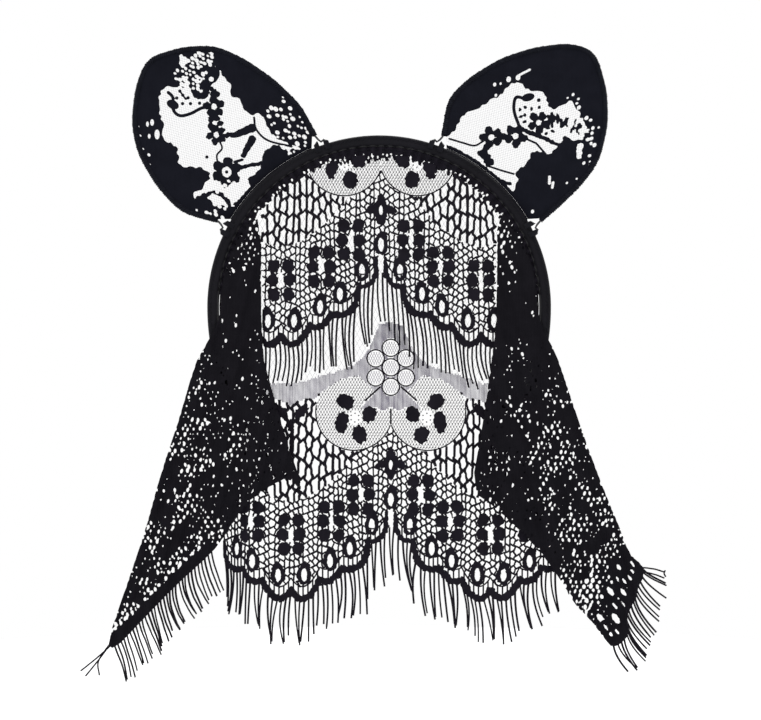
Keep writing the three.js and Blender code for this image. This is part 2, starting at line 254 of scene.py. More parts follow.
def ribbon_cloth(name):
    """Matt satin ribbon round the hoop: fine cross ribs, rubbed a little lighter in places."""
    f = Finish(name)
    ribs = f.ribs(0.5, f.turned((0, math.radians(45), 0)), 0.8)
    cross = f.ribs(0.55, f.turned((math.radians(90), 0, math.radians(90))), 0.8)
    weave = f.times(ribs, cross)
    rubbed = f.noise(11.0, 4.0)
    base = f.mixed(f.spread(rubbed, -0.3, 1.1), colour(0.0034, 0.0032, 0.0047), colour(0.0078, 0.0073, 0.0102))
    f.link(base, f.shader.inputs["Base Color"])
    f.link(f.spread(rubbed, 0.5, 0.68), f.shader.inputs["Roughness"])
    f.relief(weave, 0.07)
    f.set(Sheen_Weight=0.008, Sheen_Roughness=0.35, Specular_IOR_Level=0.08)
    return f.material


def streaked(name, size, dark, light, roughness, depth, **values):
    """A hard piece with faint streaks: the wire's enamel and the strip's plastic."""
    f = Finish(name)
    streaks = f.noise(size, 3.0)
    f.link(f.mixed(streaks, colour(*dark), colour(*light)), f.shader.inputs["Base Color"])
    f.link(f.spread(streaks, *roughness), f.shader.inputs["Roughness"])
    f.relief(streaks, depth)
    f.set(**values)
    return f.material


# --- Flat pattern tools --------------------------------------------------------
# A shape is (box, function): the function is positive inside, in millimetres, and falls off outside.


def oval(x, z, rx, rz, tilt=0.0):
    c, s = math.cos(tilt), math.sin(tilt)
    reach = max(rx, rz) + 2

    def depth(u, w):
        p = c * (u - x) + s * (w - z)
        q = -s * (u - x) + c * (w - z)
        return (1 - np.sqrt((p / rx) ** 2 + (q / rz) ** 2)) * min(rx, rz)

    return (x - reach, z - reach, x + reach, z + reach), depth


def stroke(path, radius):
    """A line with round ends; radius may be one size or one for each point."""
    path = np.asarray(path, float)
    radii = np.broadcast_to(np.asarray(radius, float), (len(path),))
    reach = radii.max() + 2

    def depth(u, w):
        best = np.full(u.shape, -99.0)
        for a, b, ra, rb in zip(path[:-1], path[1:], radii[:-1], radii[1:]):
            d = b - a
            t = np.clip(((u - a[0]) * d[0] + (w - a[1]) * d[1]) / max(d @ d, 1e-9), 0, 1)
            gap = np.hypot(u - a[0] - t * d[0], w - a[1] - t * d[1])
            best = np.maximum(best, ra + (rb - ra) * t - gap)
        return best

    low, high = path.min(0) - reach, path.max(0) + reach
    return (low[0], low[1], high[0], high[1]), depth


def outline(points, soften=3):
    """A closed outline, with its corners rounded off soften times."""
    ring = np.asarray(points, float)
    for _ in range(soften):
        following = np.roll(ring, -1, 0)
        ring = np.stack([0.75 * ring + 0.25 * following, 0.25 * ring + 0.75 * following], 1).reshape(-1, 2)
        if len(ring) > 160:
            ring = ring[::2]

    def depth(u, w):
        nearest = np.full(u.shape, 1e9)
        inside = np.zeros(u.shape, bool)
        for a, b in zip(ring, np.roll(ring, -1, 0)):
            d = b - a
            t = np.clip(((u - a[0]) * d[0] + (w - a[1]) * d[1]) / max(d @ d, 1e-9), 0, 1)
            nearest = np.minimum(nearest, (u - a[0] - t * d[0]) ** 2 + (w - a[1] - t * d[1]) ** 2)
            if a[1] != b[1]:
                crosses = ((a[1] > w) != (b[1] > w)) & (u < a[0] + (w - a[1]) * d[0] / d[1])
                inside ^= crosses
        gap = np.sqrt(nearest)
        return np.where(inside, gap, -gap)

    low, high = ring.min(0) - 2, ring.max(0) + 2
    return (low[0], low[1], high[0], high[1]), depth


def smooth_line(points, steps=8):
    """A Catmull-Rom line through the points."""
    p = np.asarray(points, float)
    p = np.vstack([2 * p[0] - p[1], p, 2 * p[-1] - p[-2]])
    t = np.linspace(0, 1, steps, endpoint=False)[:, None]
    out = []
    for a, b, c, d in zip(p[:-3], p[1:-2], p[2:-1], p[3:]):
        bend, twist = 2 * a - 5 * b + 4 * c - d, 3 * b - a - 3 * c + d
        out.append(0.5 * (2 * b + (c - a) * t + bend * t**2 + twist * t**3))
    return np.vstack(out + [p[-2][None]])


def lengths_along(line):
    """How far along a line each of its points lies."""
    return np.concatenate([[0], np.cumsum(np.linalg.norm(np.diff(line, axis=0), axis=1))])


def wander(u, w, size, phase=0.0):
    """A smooth wobble between about -1 and 1, with bumps size millimetres across."""
    k = math.pi / size
    return (
        np.sin(k * u + 1.3 * np.sin(0.71 * k * w + phase) + phase)
        * np.cos(0.93 * k * w + 1.1 * np.sin(0.83 * k * u + 2 * phase))
    )


class ClothStitch:
    """The dense areas of a lace, kept as a depth inside their edge on a fine grid."""

    def __init__(self, box, pitch):
        self.u, self.w = np.meshgrid(
            np.arange(box[0], box[2] + pitch, pitch), np.arange(box[1], box[3] + pitch, pitch), indexing="ij"
        )
        self.low = np.array(box[:2])
        self.pitch = pitch
        self.depth = np.full(self.u.shape, -9.0)

    def window(self, box):
        start = np.floor((np.array(box[:2]) - self.low) / self.pitch).astype(int)
        stop = np.ceil((np.array(box[2:]) - self.low) / self.pitch).astype(int) + 1
        start = np.clip(start, 0, self.u.shape)
        stop = np.clip(stop, 0, self.u.shape)
        return slice(start[0], stop[0]), slice(start[1], stop[1])

    def work(self, shape, wobble=0.0, size=3.0):
        box, depth = shape
        here = self.window(box)
        if self.u[here].size:
            made = depth(self.u[here], self.w[here])
            if wobble:
                made = made + wobble * wander(self.u[here], self.w[here], size)
            self.depth[here] = np.maximum(self.depth[here], made)

    def open(self, shape, wobble=0.0, size=3.0):
        box, depth = shape
        here = self.window(box)
        if self.u[here].size:
            made = depth(self.u[here], self.w[here])
            if wobble:
                made = made + wobble * wander(self.u[here], self.w[here], size)
            self.depth[here] = np.minimum(self.depth[here], -made)

    def trim(self, shape):
        """Keeps only what lies inside the shape."""
        self.depth = np.minimum(self.depth, shape[1](self.u, self.w))

    def at(self, u, w):
        """Depth at any points, from the nearest grid point."""
        i = np.clip(np.round((u - self.low[0]) / self.pitch).astype(int), 0, self.u.shape[0] - 1)
        j = np.clip(np.round((w - self.low[1]) / self.pitch).astype(int), 0, self.u.shape[1] - 1)
        return self.depth[i, j]

    def mesh(self, name, place, material, edge=0.12, crown=0.34, crown_reach=1.4):
        """A closed sheet over the worked areas, thickest away from its edges."""
        depth = np.where(np.abs(self.depth) < 1e-4, 1e-4, self.depth)
        depth[0, :] = depth[-1, :] = depth[:, 0] = depth[:, -1] = -1
        rows, columns = depth.shape
        points, index, edge_points = [], {}, {}
        solid = depth > 0

        def corner(i, j):
            key = (i, j)
            if key not in index:
                index[key] = len(points)
                points.append((self.u[i, j], self.w[i, j], depth[i, j]))
            return index[key]

        def crossing(p, q):
            key = (p, q) if p < q else (q, p)
            if key not in edge_points:
                da, db = depth[p], depth[q]
                t = da / (da - db)
                edge_points[key] = len(points)
                points.append(
                    (
                        self.u[p] + t * (self.u[q] - self.u[p]),
                        self.w[p] + t * (self.w[q] - self.w[p]),
                        0.0,
                    )
                )
            return edge_points[key]

        faces = []
        count = (
            solid[:-1, :-1].astype(int) + solid[1:, :-1] + solid[:-1, 1:] + solid[1:, 1:]
        )
        for i, j in np.argwhere(count > 0):
            i, j = int(i), int(j)
            ring = [(i, j), (i + 1, j), (i + 1, j + 1), (i, j + 1)]
            if count[i, j] == 4:
                faces.append([corner(*p) for p in ring])
                continue
            for tri in ((ring[0], ring[1], ring[2]), (ring[0], ring[2], ring[3])):
                face = []
                for p, q in zip(tri, tri[1:] + tri[:1]):
                    if solid[p]:
                        face.append(corner(*p))
                    if solid[p] != solid[q]:
                        face.append(crossing(p, q))
                if len(face) >= 3:
                    faces.append(face)
        flat = np.array(points)
        rise = np.clip(flat[:, 2] / crown_reach, 0, 1)
        half = edge + (crown - edge) * np.sqrt(rise * (2 - rise))
        front = place(flat[:, 0], flat[:, 1], half)
        back = place(flat[:, 0], flat[:, 1], -half)
        total = len(flat)
        boundary = {}
        for face in faces:
            for p, q in zip(face, face[1:] + face[:1]):
                if (q, p) in boundary:
                    del boundary[(q, p)]
                else:
                    boundary[(p, q)] = True
        shell = [list(face) for face in faces]
        shell += [[p + total for p in reversed(face)] for face in faces]
        shell += [[q, p, p + total, q + total] for p, q in boundary]
        return made_mesh(name, np.vstack([front, back]), shell, material)


def made_mesh(name, points, faces, material):
    mesh = bpy.data.meshes.new(name)
    mesh.from_pydata((np.asarray(points) * MM).tolist(), [], faces)
    mesh.materials.append(material)
    mesh.polygons.foreach_set("use_smooth", [True] * len(mesh.polygons))
    mesh.update()
    obj = bpy.data.objects.new(name, mesh)
    bpy.context.scene.collection.objects.link(obj)
    return obj


# --- Threads and knots by Geometry Nodes ----------------------------------------


def node_tree(name, inputs):
    tree = bpy.data.node_groups.new(name, "GeometryNodeTree")
    tree.interface.new_socket("Geometry", in_out="INPUT", socket_type="NodeSocketGeometry")
    for label, kind in inputs:
        tree.interface.new_socket(label, in_out="INPUT", socket_type=kind)
    tree.interface.new_socket("Geometry", in_out="OUTPUT", socket_type="NodeSocketGeometry")
    return tree, tree.nodes.new("NodeGroupInput"), tree.nodes.new("NodeGroupOutput")


def finish_tree(tree, geometry, output, material):
    realize = tree.nodes.new("GeometryNodeRealizeInstances")
    smooth = tree.nodes.new("GeometryNodeSetShadeSmooth")
    paint = tree.nodes.new("GeometryNodeSetMaterial")
    paint.inputs["Material"].default_value = material
    tree.links.new(geometry, realize.inputs[0])
    tree.links.new(realize.outputs[0], smooth.inputs[0])
    tree.links.new(smooth.outputs[0], paint.inputs[0])
    tree.links.new(paint.outputs[0], output.inputs[0])


def own_thickness(tree, scale):
    """The thickness kept on each line or point, times the tree's own scale."""
    thickness = tree.nodes.new("GeometryNodeInputNamedAttribute")
    thickness.data_type = "FLOAT"
    thickness.inputs["Name"].default_value = "thickness"
    scaled = tree.nodes.new("ShaderNodeMath")
    scaled.operation = "MULTIPLY"
    tree.links.new(thickness.outputs["Attribute"], scaled.inputs[0])
    tree.links.new(scale, scaled.inputs[1])
    return scaled.outputs[0]


def thread_tree(material):
    """Spins a round thread along every line; its radius is the line's own thickness."""
    tree, source, output = node_tree(
        "spin_threads", [("Thread sides", "NodeSocketInt"), ("Thickness scale", "NodeSocketFloat")]
    )
    to_curve = tree.nodes.new("GeometryNodeMeshToCurve")
    section = tree.nodes.new("GeometryNodeCurvePrimitiveCircle")
    section.inputs["Radius"].default_value = 1.0
    tube = tree.nodes.new("GeometryNodeCurveToMesh")
    tube.inputs["Fill Caps"].default_value = True
    tree.links.new(source.outputs["Geometry"], to_curve.inputs["Mesh"])
    tree.links.new(source.outputs["Thread sides"], section.inputs["Resolution"])
    tree.links.new(to_curve.outputs["Curve"], tube.inputs["Curve"])
    tree.links.new(section.outputs["Curve"], tube.inputs["Profile Curve"])
    tree.links.new(own_thickness(tree, source.outputs["Thickness scale"]), tube.inputs["Scale"])
    finish_tree(tree, tube.outputs["Mesh"], output, material)
    return tree


def knot_tree(material):
    """Sets a small round knot on every point, as big as the point's own thickness."""
    tree, source, output = node_tree("tie_knots", [("Knot scale", "NodeSocketFloat")])
    ball = tree.nodes.new("GeometryNodeMeshUVSphere")
    ball.inputs["Segments"].default_value = 6
    ball.inputs["Rings"].default_value = 4
    ball.inputs["Radius"].default_value = 1.0
    points = tree.nodes.new("GeometryNodeMeshToPoints")
    scatter = tree.nodes.new("GeometryNodeInstanceOnPoints")
    tree.links.new(source.outputs["Geometry"], points.inputs["Mesh"])
    tree.links.new(points.outputs["Points"], scatter.inputs["Points"])
    tree.links.new(ball.outputs["Mesh"], scatter.inputs["Instance"])
    tree.links.new(own_thickness(tree, source.outputs["Knot scale"]), scatter.inputs["Scale"])
    finish_tree(tree, scatter.outputs["Instances"], output, material)
    return tree


def baked(obj, tree, values):
    """Runs the tree on the object with these named sizes, and keeps the result as its plain mesh."""
    modifier = obj.modifiers.new("lace", "NODES")
    modifier.node_group = tree
    for item in tree.interface.items_tree:
        if item.in_out == "INPUT" and item.name in values:
            modifier[item.identifier] = values[item.name]
    bpy.context.view_layer.update()
    graph = bpy.context.evaluated_depsgraph_get()
    mesh = bpy.data.meshes.new_from_object(obj.evaluated_get(graph))
    obj.modifiers.remove(modifier)
    obj.data = mesh
    mesh.name = obj.name
    return obj


class Threads:
    """Lines waiting to be spun into threads, and points waiting for knots."""

    def __init__(self):
        self.points, self.edges, self.radii, self.count = [], [], [], 0

    def keep(self, path, radius):
        self.points.append(path)
        self.radii.append(np.broadcast_to(np.asarray(radius, float), (len(path),)))
        self.count += len(path)

    def lay(self, path, radius):
        path = np.asarray(path, float)
        if len(path) < 2:
            return
        self.edges += [(self.count + i, self.count + i + 1) for i in range(len(path) - 1)]
        self.keep(path, radius)

    def lay_kept(self, path, kept, radius):
        """Lays only the stretches whose points are kept."""
        kept = np.asarray(kept)
        edges = np.flatnonzero(np.diff(np.concatenate([[0], kept.astype(int), [0]])))
        radii = np.broadcast_to(np.asarray(radius, float), (len(path),))
        for start, stop in zip(edges[::2], edges[1::2]):
            self.lay(path[start:stop], radii[start:stop])

    def knot(self, path, radius):
        self.keep(np.asarray(path, float).reshape(-1, 3), radius)

    def drawn(self, name):
        mesh = bpy.data.meshes.new(name)
        mesh.from_pydata((np.vstack(self.points) * MM).tolist(), self.edges, [])
        thickness = mesh.attributes.new("thickness", "FLOAT", "POINT")
        thickness.data.foreach_set("value", np.concatenate(self.radii) * MM)
        obj = bpy.data.objects.new(name, mesh)
        bpy.context.scene.collection.objects.link(obj)
        return obj

    def spun(self, name, material, sides=5):
        return baked(self.drawn(name), thread_tree(material), {"Thread sides": sides, "Thickness scale": 1.0})

    def tied(self, name, material):
        return baked(self.drawn(name), knot_tree(material), {"Knot scale": 1.0})


# --- The hoop -------------------------------------------------------------------


def hoop_point(angle, radius, y):
    """A point on the hoop's line at that angle from the crown, radius out from the arch."""
    past = max(0.0, abs(angle) - math.pi / 2)
    side = 1 if angle >= 0 else -1
    if past == 0:
        return (radius * math.sin(angle), y, ARCH_CENTRE + radius * math.cos(angle))
    middle = (COVER_INSIDE + COVER_OUTSIDE) / 2
    arm = ARM_RADIUS + radius - middle
    return (side * (radius - arm + arm * math.cos(past)), y, ARCH_CENTRE - arm * math.sin(past))


def hoop_fabric(material):
    """The ribbon round the hoop: drawn tight, lapped along the front, gathered shut at both ends."""
    stations, around = 260, 28
    middle = (COVER_INSIDE + COVER_OUTSIDE) / 2
    half_depth = (COVER_OUTSIDE - COVER_INSIDE) / 2
    end = math.pi / 2 + ARM_TURN + CAP_END / ARM_RADIUS
    points, faces = [], []
    for s in range(stations + 1):
        angle = -end + 2 * end * s / stations
        from_end = min(end - angle, angle + end) * 85
        closing = min(1.0, math.sqrt(max(0.0, from_end / 2.4 * (2 - min(1.0, from_end / 2.4)))))
        length = angle * middle
        for k in range(around):
            t = 2 * math.pi * k / around
            c, q = math.cos(t), math.sin(t)
            y = -BAND_HALF * math.copysign(abs(c) ** 0.55, c)
            depth = half_depth * math.copysign(abs(q) ** 0.55, q)
            lap = 0.22 * math.exp(-(((t - 0.42) / 0.13) ** 2)) if t < 3 else 0.0
            pucker = 0.07 * math.sin(length * 0.9 + 2.2 * math.sin(t)) + 0.05 * math.sin(length * 2.3 + 3 * t)
            gather = (1 - closing) * 0.12 * math.cos(7 * t)
            grow = closing * (1 + gather) * (0.985 + 0.015 * pucker)
            raised = closing * (lap + pucker * 0.5) * (c > 0) * abs(c)
            points.append(hoop_point(angle, middle + grow * depth, grow * y - raised))
    for s in range(stations):
        for k in range(around):
            a, b = s * around + k, s * around + (k + 1) % around
            faces.append([a, b, b + around, a + around])
    first = len(points)
    points.append(hoop_point(-end, middle, 0))
    points.append(hoop_point(end, middle, 0))
    last = stations * around
    for k in range(around):
        faces.append([first, (k + 1) % around, k])
        faces.append([first + 1, last + k, last + (k + 1) % around])
    obj = made_mesh("hoop_fabric", points, faces, material)
    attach(obj, "band")
    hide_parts("hoop_cover", "end_cap_left", "end_cap_right")
    return obj


def hoop_seam_stitches(material):
    """Small slanting stitches that close the ribbon's lap along the front."""
    threads = Threads()
    end = math.pi / 2 + ARM_TURN
    count = 150
    for i in range(count):
        angle = -end + 2 * end * (i + 0.5) / count
        path = []
        for t in np.linspace(-1, 1, 5):
            lift = 0.28 * (1 - t * t)
            path.append(hoop_point(angle + 0.011 * t, 73.6 + 0.55 * t, -BAND_HALF - 0.02 - lift))
        threads.lay(path, 0.14)
    obj = threads.spun("hoop_seam_stitches", material, 5)
    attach(obj, "band")
    return obj


# --- The ears -------------------------------------------------------------------

# The wire between its legs, from the inner foot to the outer one, as shares of half width and height.
LEFT_EAR = [
    (-0.84, 0.25), (-0.76, 0.56), (-0.53, 0.82), (-0.1, 0.97), (0.16, 1.0), (0.53, 0.9), (0.86, 0.71),
    (1.0, 0.47), (0.98, 0.23),
]
RIGHT_EAR = [
    (-0.97, 0.25), (-0.9, 0.5), (-0.69, 0.72), (-0.34, 0.92), (-0.09, 0.97), (0.24, 0.89), (0.57, 0.73),
    (0.79, 0.52), (0.82, 0.33),
]


def ear_line(shape, steps=14):
    """The wire's own curve, through its shape points at an even pace."""
    p = [(-FOOT_HALF, LEG_HEIGHT)]
    p += [(across * EAR_HALF_WIDTH, up * EAR_HEIGHT) for across, up in shape]
    p += [(FOOT_HALF, LEG_HEIGHT)]
    p = np.array(p)
    p = np.vstack([2 * p[0] - p[1], p, 2 * p[-1] - p[-2]])
    out = []
    for a, b, c, d in zip(p[:-3], p[1:-2], p[2:-1], p[3:]):
        da, db, dc = (np.linalg.norm(q - r) ** 0.5 for q, r in ((b, a), (c, b), (d, c)))
        start = ((b - a) / da - (c - a) / (da + db) + (c - b) / db) * db
        stop = ((c - b) / db - (d - b) / (db + dc) + (d - c) / dc) * db
        for t in np.linspace(0, 1, steps, endpoint=False):
            bend, twist = -3 * b + 3 * c - 2 * start - stop, 2 * b - 2 * c + start + stop
            out.append(b + start * t + bend * t**2 + twist * t**3)
    return np.vstack([out, p[-2]])


def ear_place(side):
    """From an ear's own plane (out along the hinge line, up from it) to the object's space."""
    c, s = math.cos(EAR_TURN), math.sin(EAR_TURN)
    origin_x = side * HINGE_RISE * s
    origin_z = ARCH_CENTRE + HINGE_RISE * c

    def place(u, w, out=0.0):
        x = side * np.asarray(u, float)
        w = np.asarray(w, float)
        puff = 0.25 * np.sin(x / 6.5 + w / 9) * np.clip((w - 6) / 12, 0, 1)
        return np.stack(
            [
                origin_x + x * c + w * side * s,
                -np.broadcast_to(out, x.shape) - puff,
                origin_z - x * side * s + w * c,
            ],
            -1,
        )

    return place


def ear_outline(line):
    hem_radius = COVER_OUTSIDE + HEM_LIFT
    hem_half = FOOT_HALF - 4.6
    turn = math.asin(hem_half / hem_radius)
    hem = [
        (hem_radius * math.sin(t), hem_radius * math.cos(t) - HINGE_RISE) for t in np.linspace(turn, -turn, 25)
    ]
    body = [tuple(p) for p in line if p[1] > LEG_HEIGHT + 1.2]
    return body + hem


def petal_flower(cloth, x, z, reach, petals=6, start=0.3, heart=0.34):
    for k in range(petals):
        t = start + 2 * math.pi * k / petals
        px, pz = x + reach * 0.62 * math.cos(t), z + reach * 0.62 * math.sin(t)
        cloth.work(oval(px, pz, reach * 0.45, reach * 0.36, t), 0.35, 1.7)
    cloth.open(oval(x, z, reach * heart, reach * heart * 1.15, 0.4), 0.15, 1.2)
    if reach > 5.5:
        cloth.work(oval(x, z, reach * 0.12, reach * 0.12))


def pinholes(cloth, box, pitch, share, seed, size=(0.35, 0.75), zone=None, slender=1.35):
    """Small eyelets left in a dense area, on a jittered lace grid."""
    rng = np.random.default_rng(seed)
    rows = int((box[3] - box[1]) / (pitch * 0.86))
    columns = int((box[2] - box[0]) / pitch)
    for r in range(rows + 1):
        for c in range(columns + 1):
            x = box[0] + pitch * (c + 0.5 * (r % 2)) + rng.uniform(-0.22, 0.22) * pitch
            z = box[1] + pitch * 0.86 * r + rng.uniform(-0.22, 0.22) * pitch
            chosen = rng.random()
            grow = rng.uniform(*size)
            chance = share if zone is None else share * zone(x, z)
            if chosen < chance:
                cloth.open(oval(x, z, grow, grow * slender, rng.uniform(-0.4, 0.4)))


def left_ear_flowers(cloth):
    """Leaves and blossoms of the left ear, out from its middle and up from the hoop."""
    cloth.work(
        outline([
            (-7, 80), (-6.8, 69), (-3.4, 65), (-1.7, 59.8), (-0.6, 57.7), (4.2, 60.3), (7.3, 63.8),
            (12.1, 61.4),
            (15.2, 58.7), (17.8, 53.2), (19, 49.6), (23.4, 47.2), (20.4, 40.8), (22.6, 35.7), (25.1, 33.6),
            (21.8, 29.5),
            (17.9, 25.3), (17.5, 20.5), (24.8, 19), (29.4, 19.9), (30, 16.5), (27.8, 10.8), (25.9, 5.2),
            (22.9, 1),
            (45, 1), (45, 80),
        ], 2), 0.6, 3,
    )
    cloth.work(
        outline([
            (-7, 80), (-8.9, 62.4), (-11.1, 58.2), (-17, 54), (-14.3, 49.9), (-15.7, 44.9), (-12, 42.5),
            (-14.2, 36.9),
            (-11.3, 30.2), (-17.3, 27.5), (-15.6, 22.4), (-14, 17), (-17.9, 6.5), (-22.3, 0), (-45, 0),
            (-45, 75),
        ], 2), 0.6, 3,
    )
    cloth.work(outline([
        (-8, 66), (-3.4, 63.5), (-1.5, 58), (-1, 55.5), (-4, 50), (-9.5, 50.5), (-14.5, 50), (-17, 55),
    ], 2), 0.5)
    cloth.work(outline([
        (-0.9, 55.5), (0.9, 51.6), (-2.2, 47.6), (-5.9, 47.8), (-7, 51.7), (-3.6, 53.3),
    ], 2), 0.4, 2)
    cloth.work(
        outline([
            (-6.2, 13.8), (-13.6, 12.4), (-14.4, 8.2), (-19, 4.2), (-20, 0), (7.7, 1.5), (7.2, 9.8),
            (3, 8.4), (-2.4, 9.2),
        ], 2), 0.4, 2,
    )
    cloth.work(stroke([(0, 29.4), (-1.5, 27.5), (-9.6, 24.6)], [0.8, 1.2, 1.9]), 0.2, 2)
    cloth.work(stroke([(-6.6, 20.8), (1, 18.0)], [1.8, 1.1]), 0.2, 2)
    petal_flower(cloth, 11.3, 17.4, 6.3, 6, 0.3, 0.32)
    cloth.work(stroke([(5.4, 14.6), (1, 12.6), (-3, 10)], 0.85), 0.25, 1.8)
    cloth.work(stroke([(5.8, 18.4), (2.6, 16.9)], 0.6))
    cloth.work(stroke(smooth_line([
        (-7, 50), (-7.6, 47), (-5, 44), (-1.5, 40), (2.4, 35.5), (3.8, 31), (0, 29.4),
    ]), 1.1), 0.5, 1.7)
    petal_flower(cloth, -3.4, 42.6, 4.6, 5, 0.9, 0.26)
    petal_flower(cloth, 1.1, 37.0, 3.6, 5, 0.2, 0.26)
    petal_flower(cloth, 4.0, 32.6, 4.3, 5, 0.6, 0.26)
    cloth.work(oval(-7.2, 46.4, 2.2, 1.8, 0.4), 0.3, 1.6)
    cloth.work(stroke(smooth_line([
        (7.6, 60.5), (7.6, 57.5), (10.9, 53.4), (10.5, 49.5), (6.4, 47.1), (1.3, 45.8), (-1.8, 44),
    ]), 0.7))
    cloth.work(oval(9.6, 55.2, 2.8, 1.9, 1.2))
    cloth.work(stroke(smooth_line([(4.6, 30), (6, 26.5), (9.5, 25.8), (11.4, 23.4)]), 0.4))
    cloth.work(stroke(smooth_line([(-13.5, 27.5), (-10.8, 23), (-11.4, 16), (-17.5, 7)]), 0.45))
    cloth.work(stroke(smooth_line([
        (25.5, 15.7), (21.5, 14.5), (19.3, 10.1), (20.6, 5), (26, 4.5),
    ]), [0.9] * 33), 0.3, 2)
    cloth.work(outline([
        (28, 18), (24, 17), (25.5, 11), (22.5, 8.5), (21.5, 4.5), (12, 5), (10, 1.5), (45, 0), (45, 16),
    ], 2), 0.5, 2)
    for x, z in (
        (3.4, 57.6), (3.6, 55.4), (6.1, 52.7), (3.5, 50.4), (0.4, 47.9), (0.9, 58.2), (6.4, 56.2), (2.6, 53),
        (13.5, 28),
    ):
        cloth.work(oval(x, z, 0.75, 0.75))
    for x, z in ((3.4, 57.6), (3.6, 55.4)):
        cloth.work(stroke([(x, z), (x + 0.2, z - 2.2)], 0.4))


def left_ear_eyelets(cloth):
    pinholes(cloth, (25, 40, 38, 68), 2.1, 0.62, 5, (0.4, 0.8), lambda x, z: x + 0.4 * z > 50)
    for x, z, wide, high in (
        (21.6, 55.2, 0.8, 1.5), (23.6, 56, 0.6, 1.2), (23.4, 49.8, 1.1, 2.2), (26.5, 51.5, 0.6, 1.1),
    ):
        cloth.open(oval(x, z, wide, high, 0.7))
    pinholes(cloth, (-31, 3, -14.5, 27), 2.2, 0.66, 7, (0.4, 0.95), lambda x, z: z + 0.9 * x < 8)
    pinholes(cloth, (-18, 51, 1, 65), 2.0, 0.85, 8, (0.45, 0.85), lambda x, z: z - 0.45 * abs(x + 4) > 52)
    pinholes(cloth, (11, 2, 32, 15), 2.3, 0.5, 9, (0.4, 0.8))
    cloth.open(oval(-3.6, 51.4, 0.8, 0.6))
    cloth.open(oval(-6.4, 55.6, 1.2, 1.2))
    cloth.open(oval(-10.4, 52.4, 1.1, 1.1))
    cloth.work(oval(-6.4, 55.6, 0.45, 0.45))


def right_ear_flowers(cloth):
    """Leaves and blossoms of the right ear."""
    cloth.work(
        outline([
            (-45, -4), (-31.7, -4), (-26.7, 4.1), (-26.2, 11.1), (-27.8, 16.4), (-24.5, 24.4), (-23, 29.5),
            (-21.1, 34.1),
            (-21.6, 38), (-19.3, 43.8), (-13.8, 43), (-10.4, 46.3), (-6.8, 47.3), (-1.9, 43.4), (1.8, 45.9),
            (3.4, 52.5),
            (6.9, 51.9), (14.2, 48.6), (18, 46.7), (45, 46), (45, 85), (-45, 85),
        ], 2), 0.55, 3,
    )
    cloth.work(
        outline([
            (10.9, 1), (10.2, 10.5), (5.1, 12.6), (7.9, 19.5), (5.4, 24), (8.8, 26.9), (12.4, 27.9),
            (12.5, 35.3),
            (10.8, 39.8), (14.7, 38.7), (19, 41.9), (16.8, 47.8), (45, 48), (45, 1),
        ], 2), 0.55, 3,
    )
    petal_flower(cloth, -0.6, 35.7, 4.8, 5, 0.5, 0.22)
    petal_flower(cloth, -4.4, 24.6, 5.0, 5, 0.5, 0.24)
    petal_flower(cloth, -12, 17.2, 4.9, 5, 0.1, 0.26)
    cloth.work(oval(-8.4, 20.8, 2.0, 1.5, 0.8))
    cloth.work(stroke(smooth_line([(-10.9, 14), (-9.9, 10), (-5.5, 8.4)]), [1.4] * 8 + [1.9] * 9), 0.45, 1.8)
    cloth.work(oval(-11, 8.6, 1.5, 1.1))
    cloth.work(stroke(smooth_line([
        (-10.2, 42.8), (-12, 39.8), (-15.3, 37.6), (-13.6, 34), (-10.6, 31.4), (-6.4, 29.1), (-3.8, 27),
    ]), 0.7))
    cloth.work(oval(-11.4, 41, 2.9, 1.7, 1.0))
    cloth.work(stroke([
        (-5.5, 28.6), (-2.2, 29.2), (3, 31.4), (6.8, 32.6), (12.6, 34),
    ], [1.0, 0.9, 1.0, 0.8, 0.8]), 0.3, 1.8)
    cloth.work(stroke([(0.8, 27), (4.5, 28.2), (10.8, 27.4)], 0.45))
    cloth.work(stroke(smooth_line([(-25.5, 4.6), (-19.8, 7.2), (-15.2, 9.6), (-13.6, 13.4)]), 0.42))
    cloth.work(stroke(smooth_line([(-5.3, 6.6), (0.9, 9.2), (6, 11.6)]), 0.42))
    cloth.work(stroke([(7.6, 7.4), (4.2, 5.6), (0.5, 5.2)], 0.8), 0.3, 1.6)
    for x, z in (
        (-9.5, 36.8), (-7, 38.2), (-4.9, 40.9), (-7.3, 34.3), (-5.4, 31.9), (-7.1, 43.2), (-10.4, 34.6),
        (-8.2, 32.4),
        (2.5, 39.5), (4, 36.6), (6.5, 37), (5, 34.2),
    ):
        cloth.work(oval(x, z, 0.85, 0.7, x), 0.2, 1.4)
    rng = np.random.default_rng(SEED + 1)
    for _ in range(34):
        x = rng.uniform(2.5, 16)
        z = rng.uniform(36, 40) + 0.45 * x
        end = (x + rng.uniform(-2.4, -0.6), z + rng.uniform(1.0, 2.6))
        cloth.work(stroke([(x, z), end], rng.uniform(0.35, 0.6)))


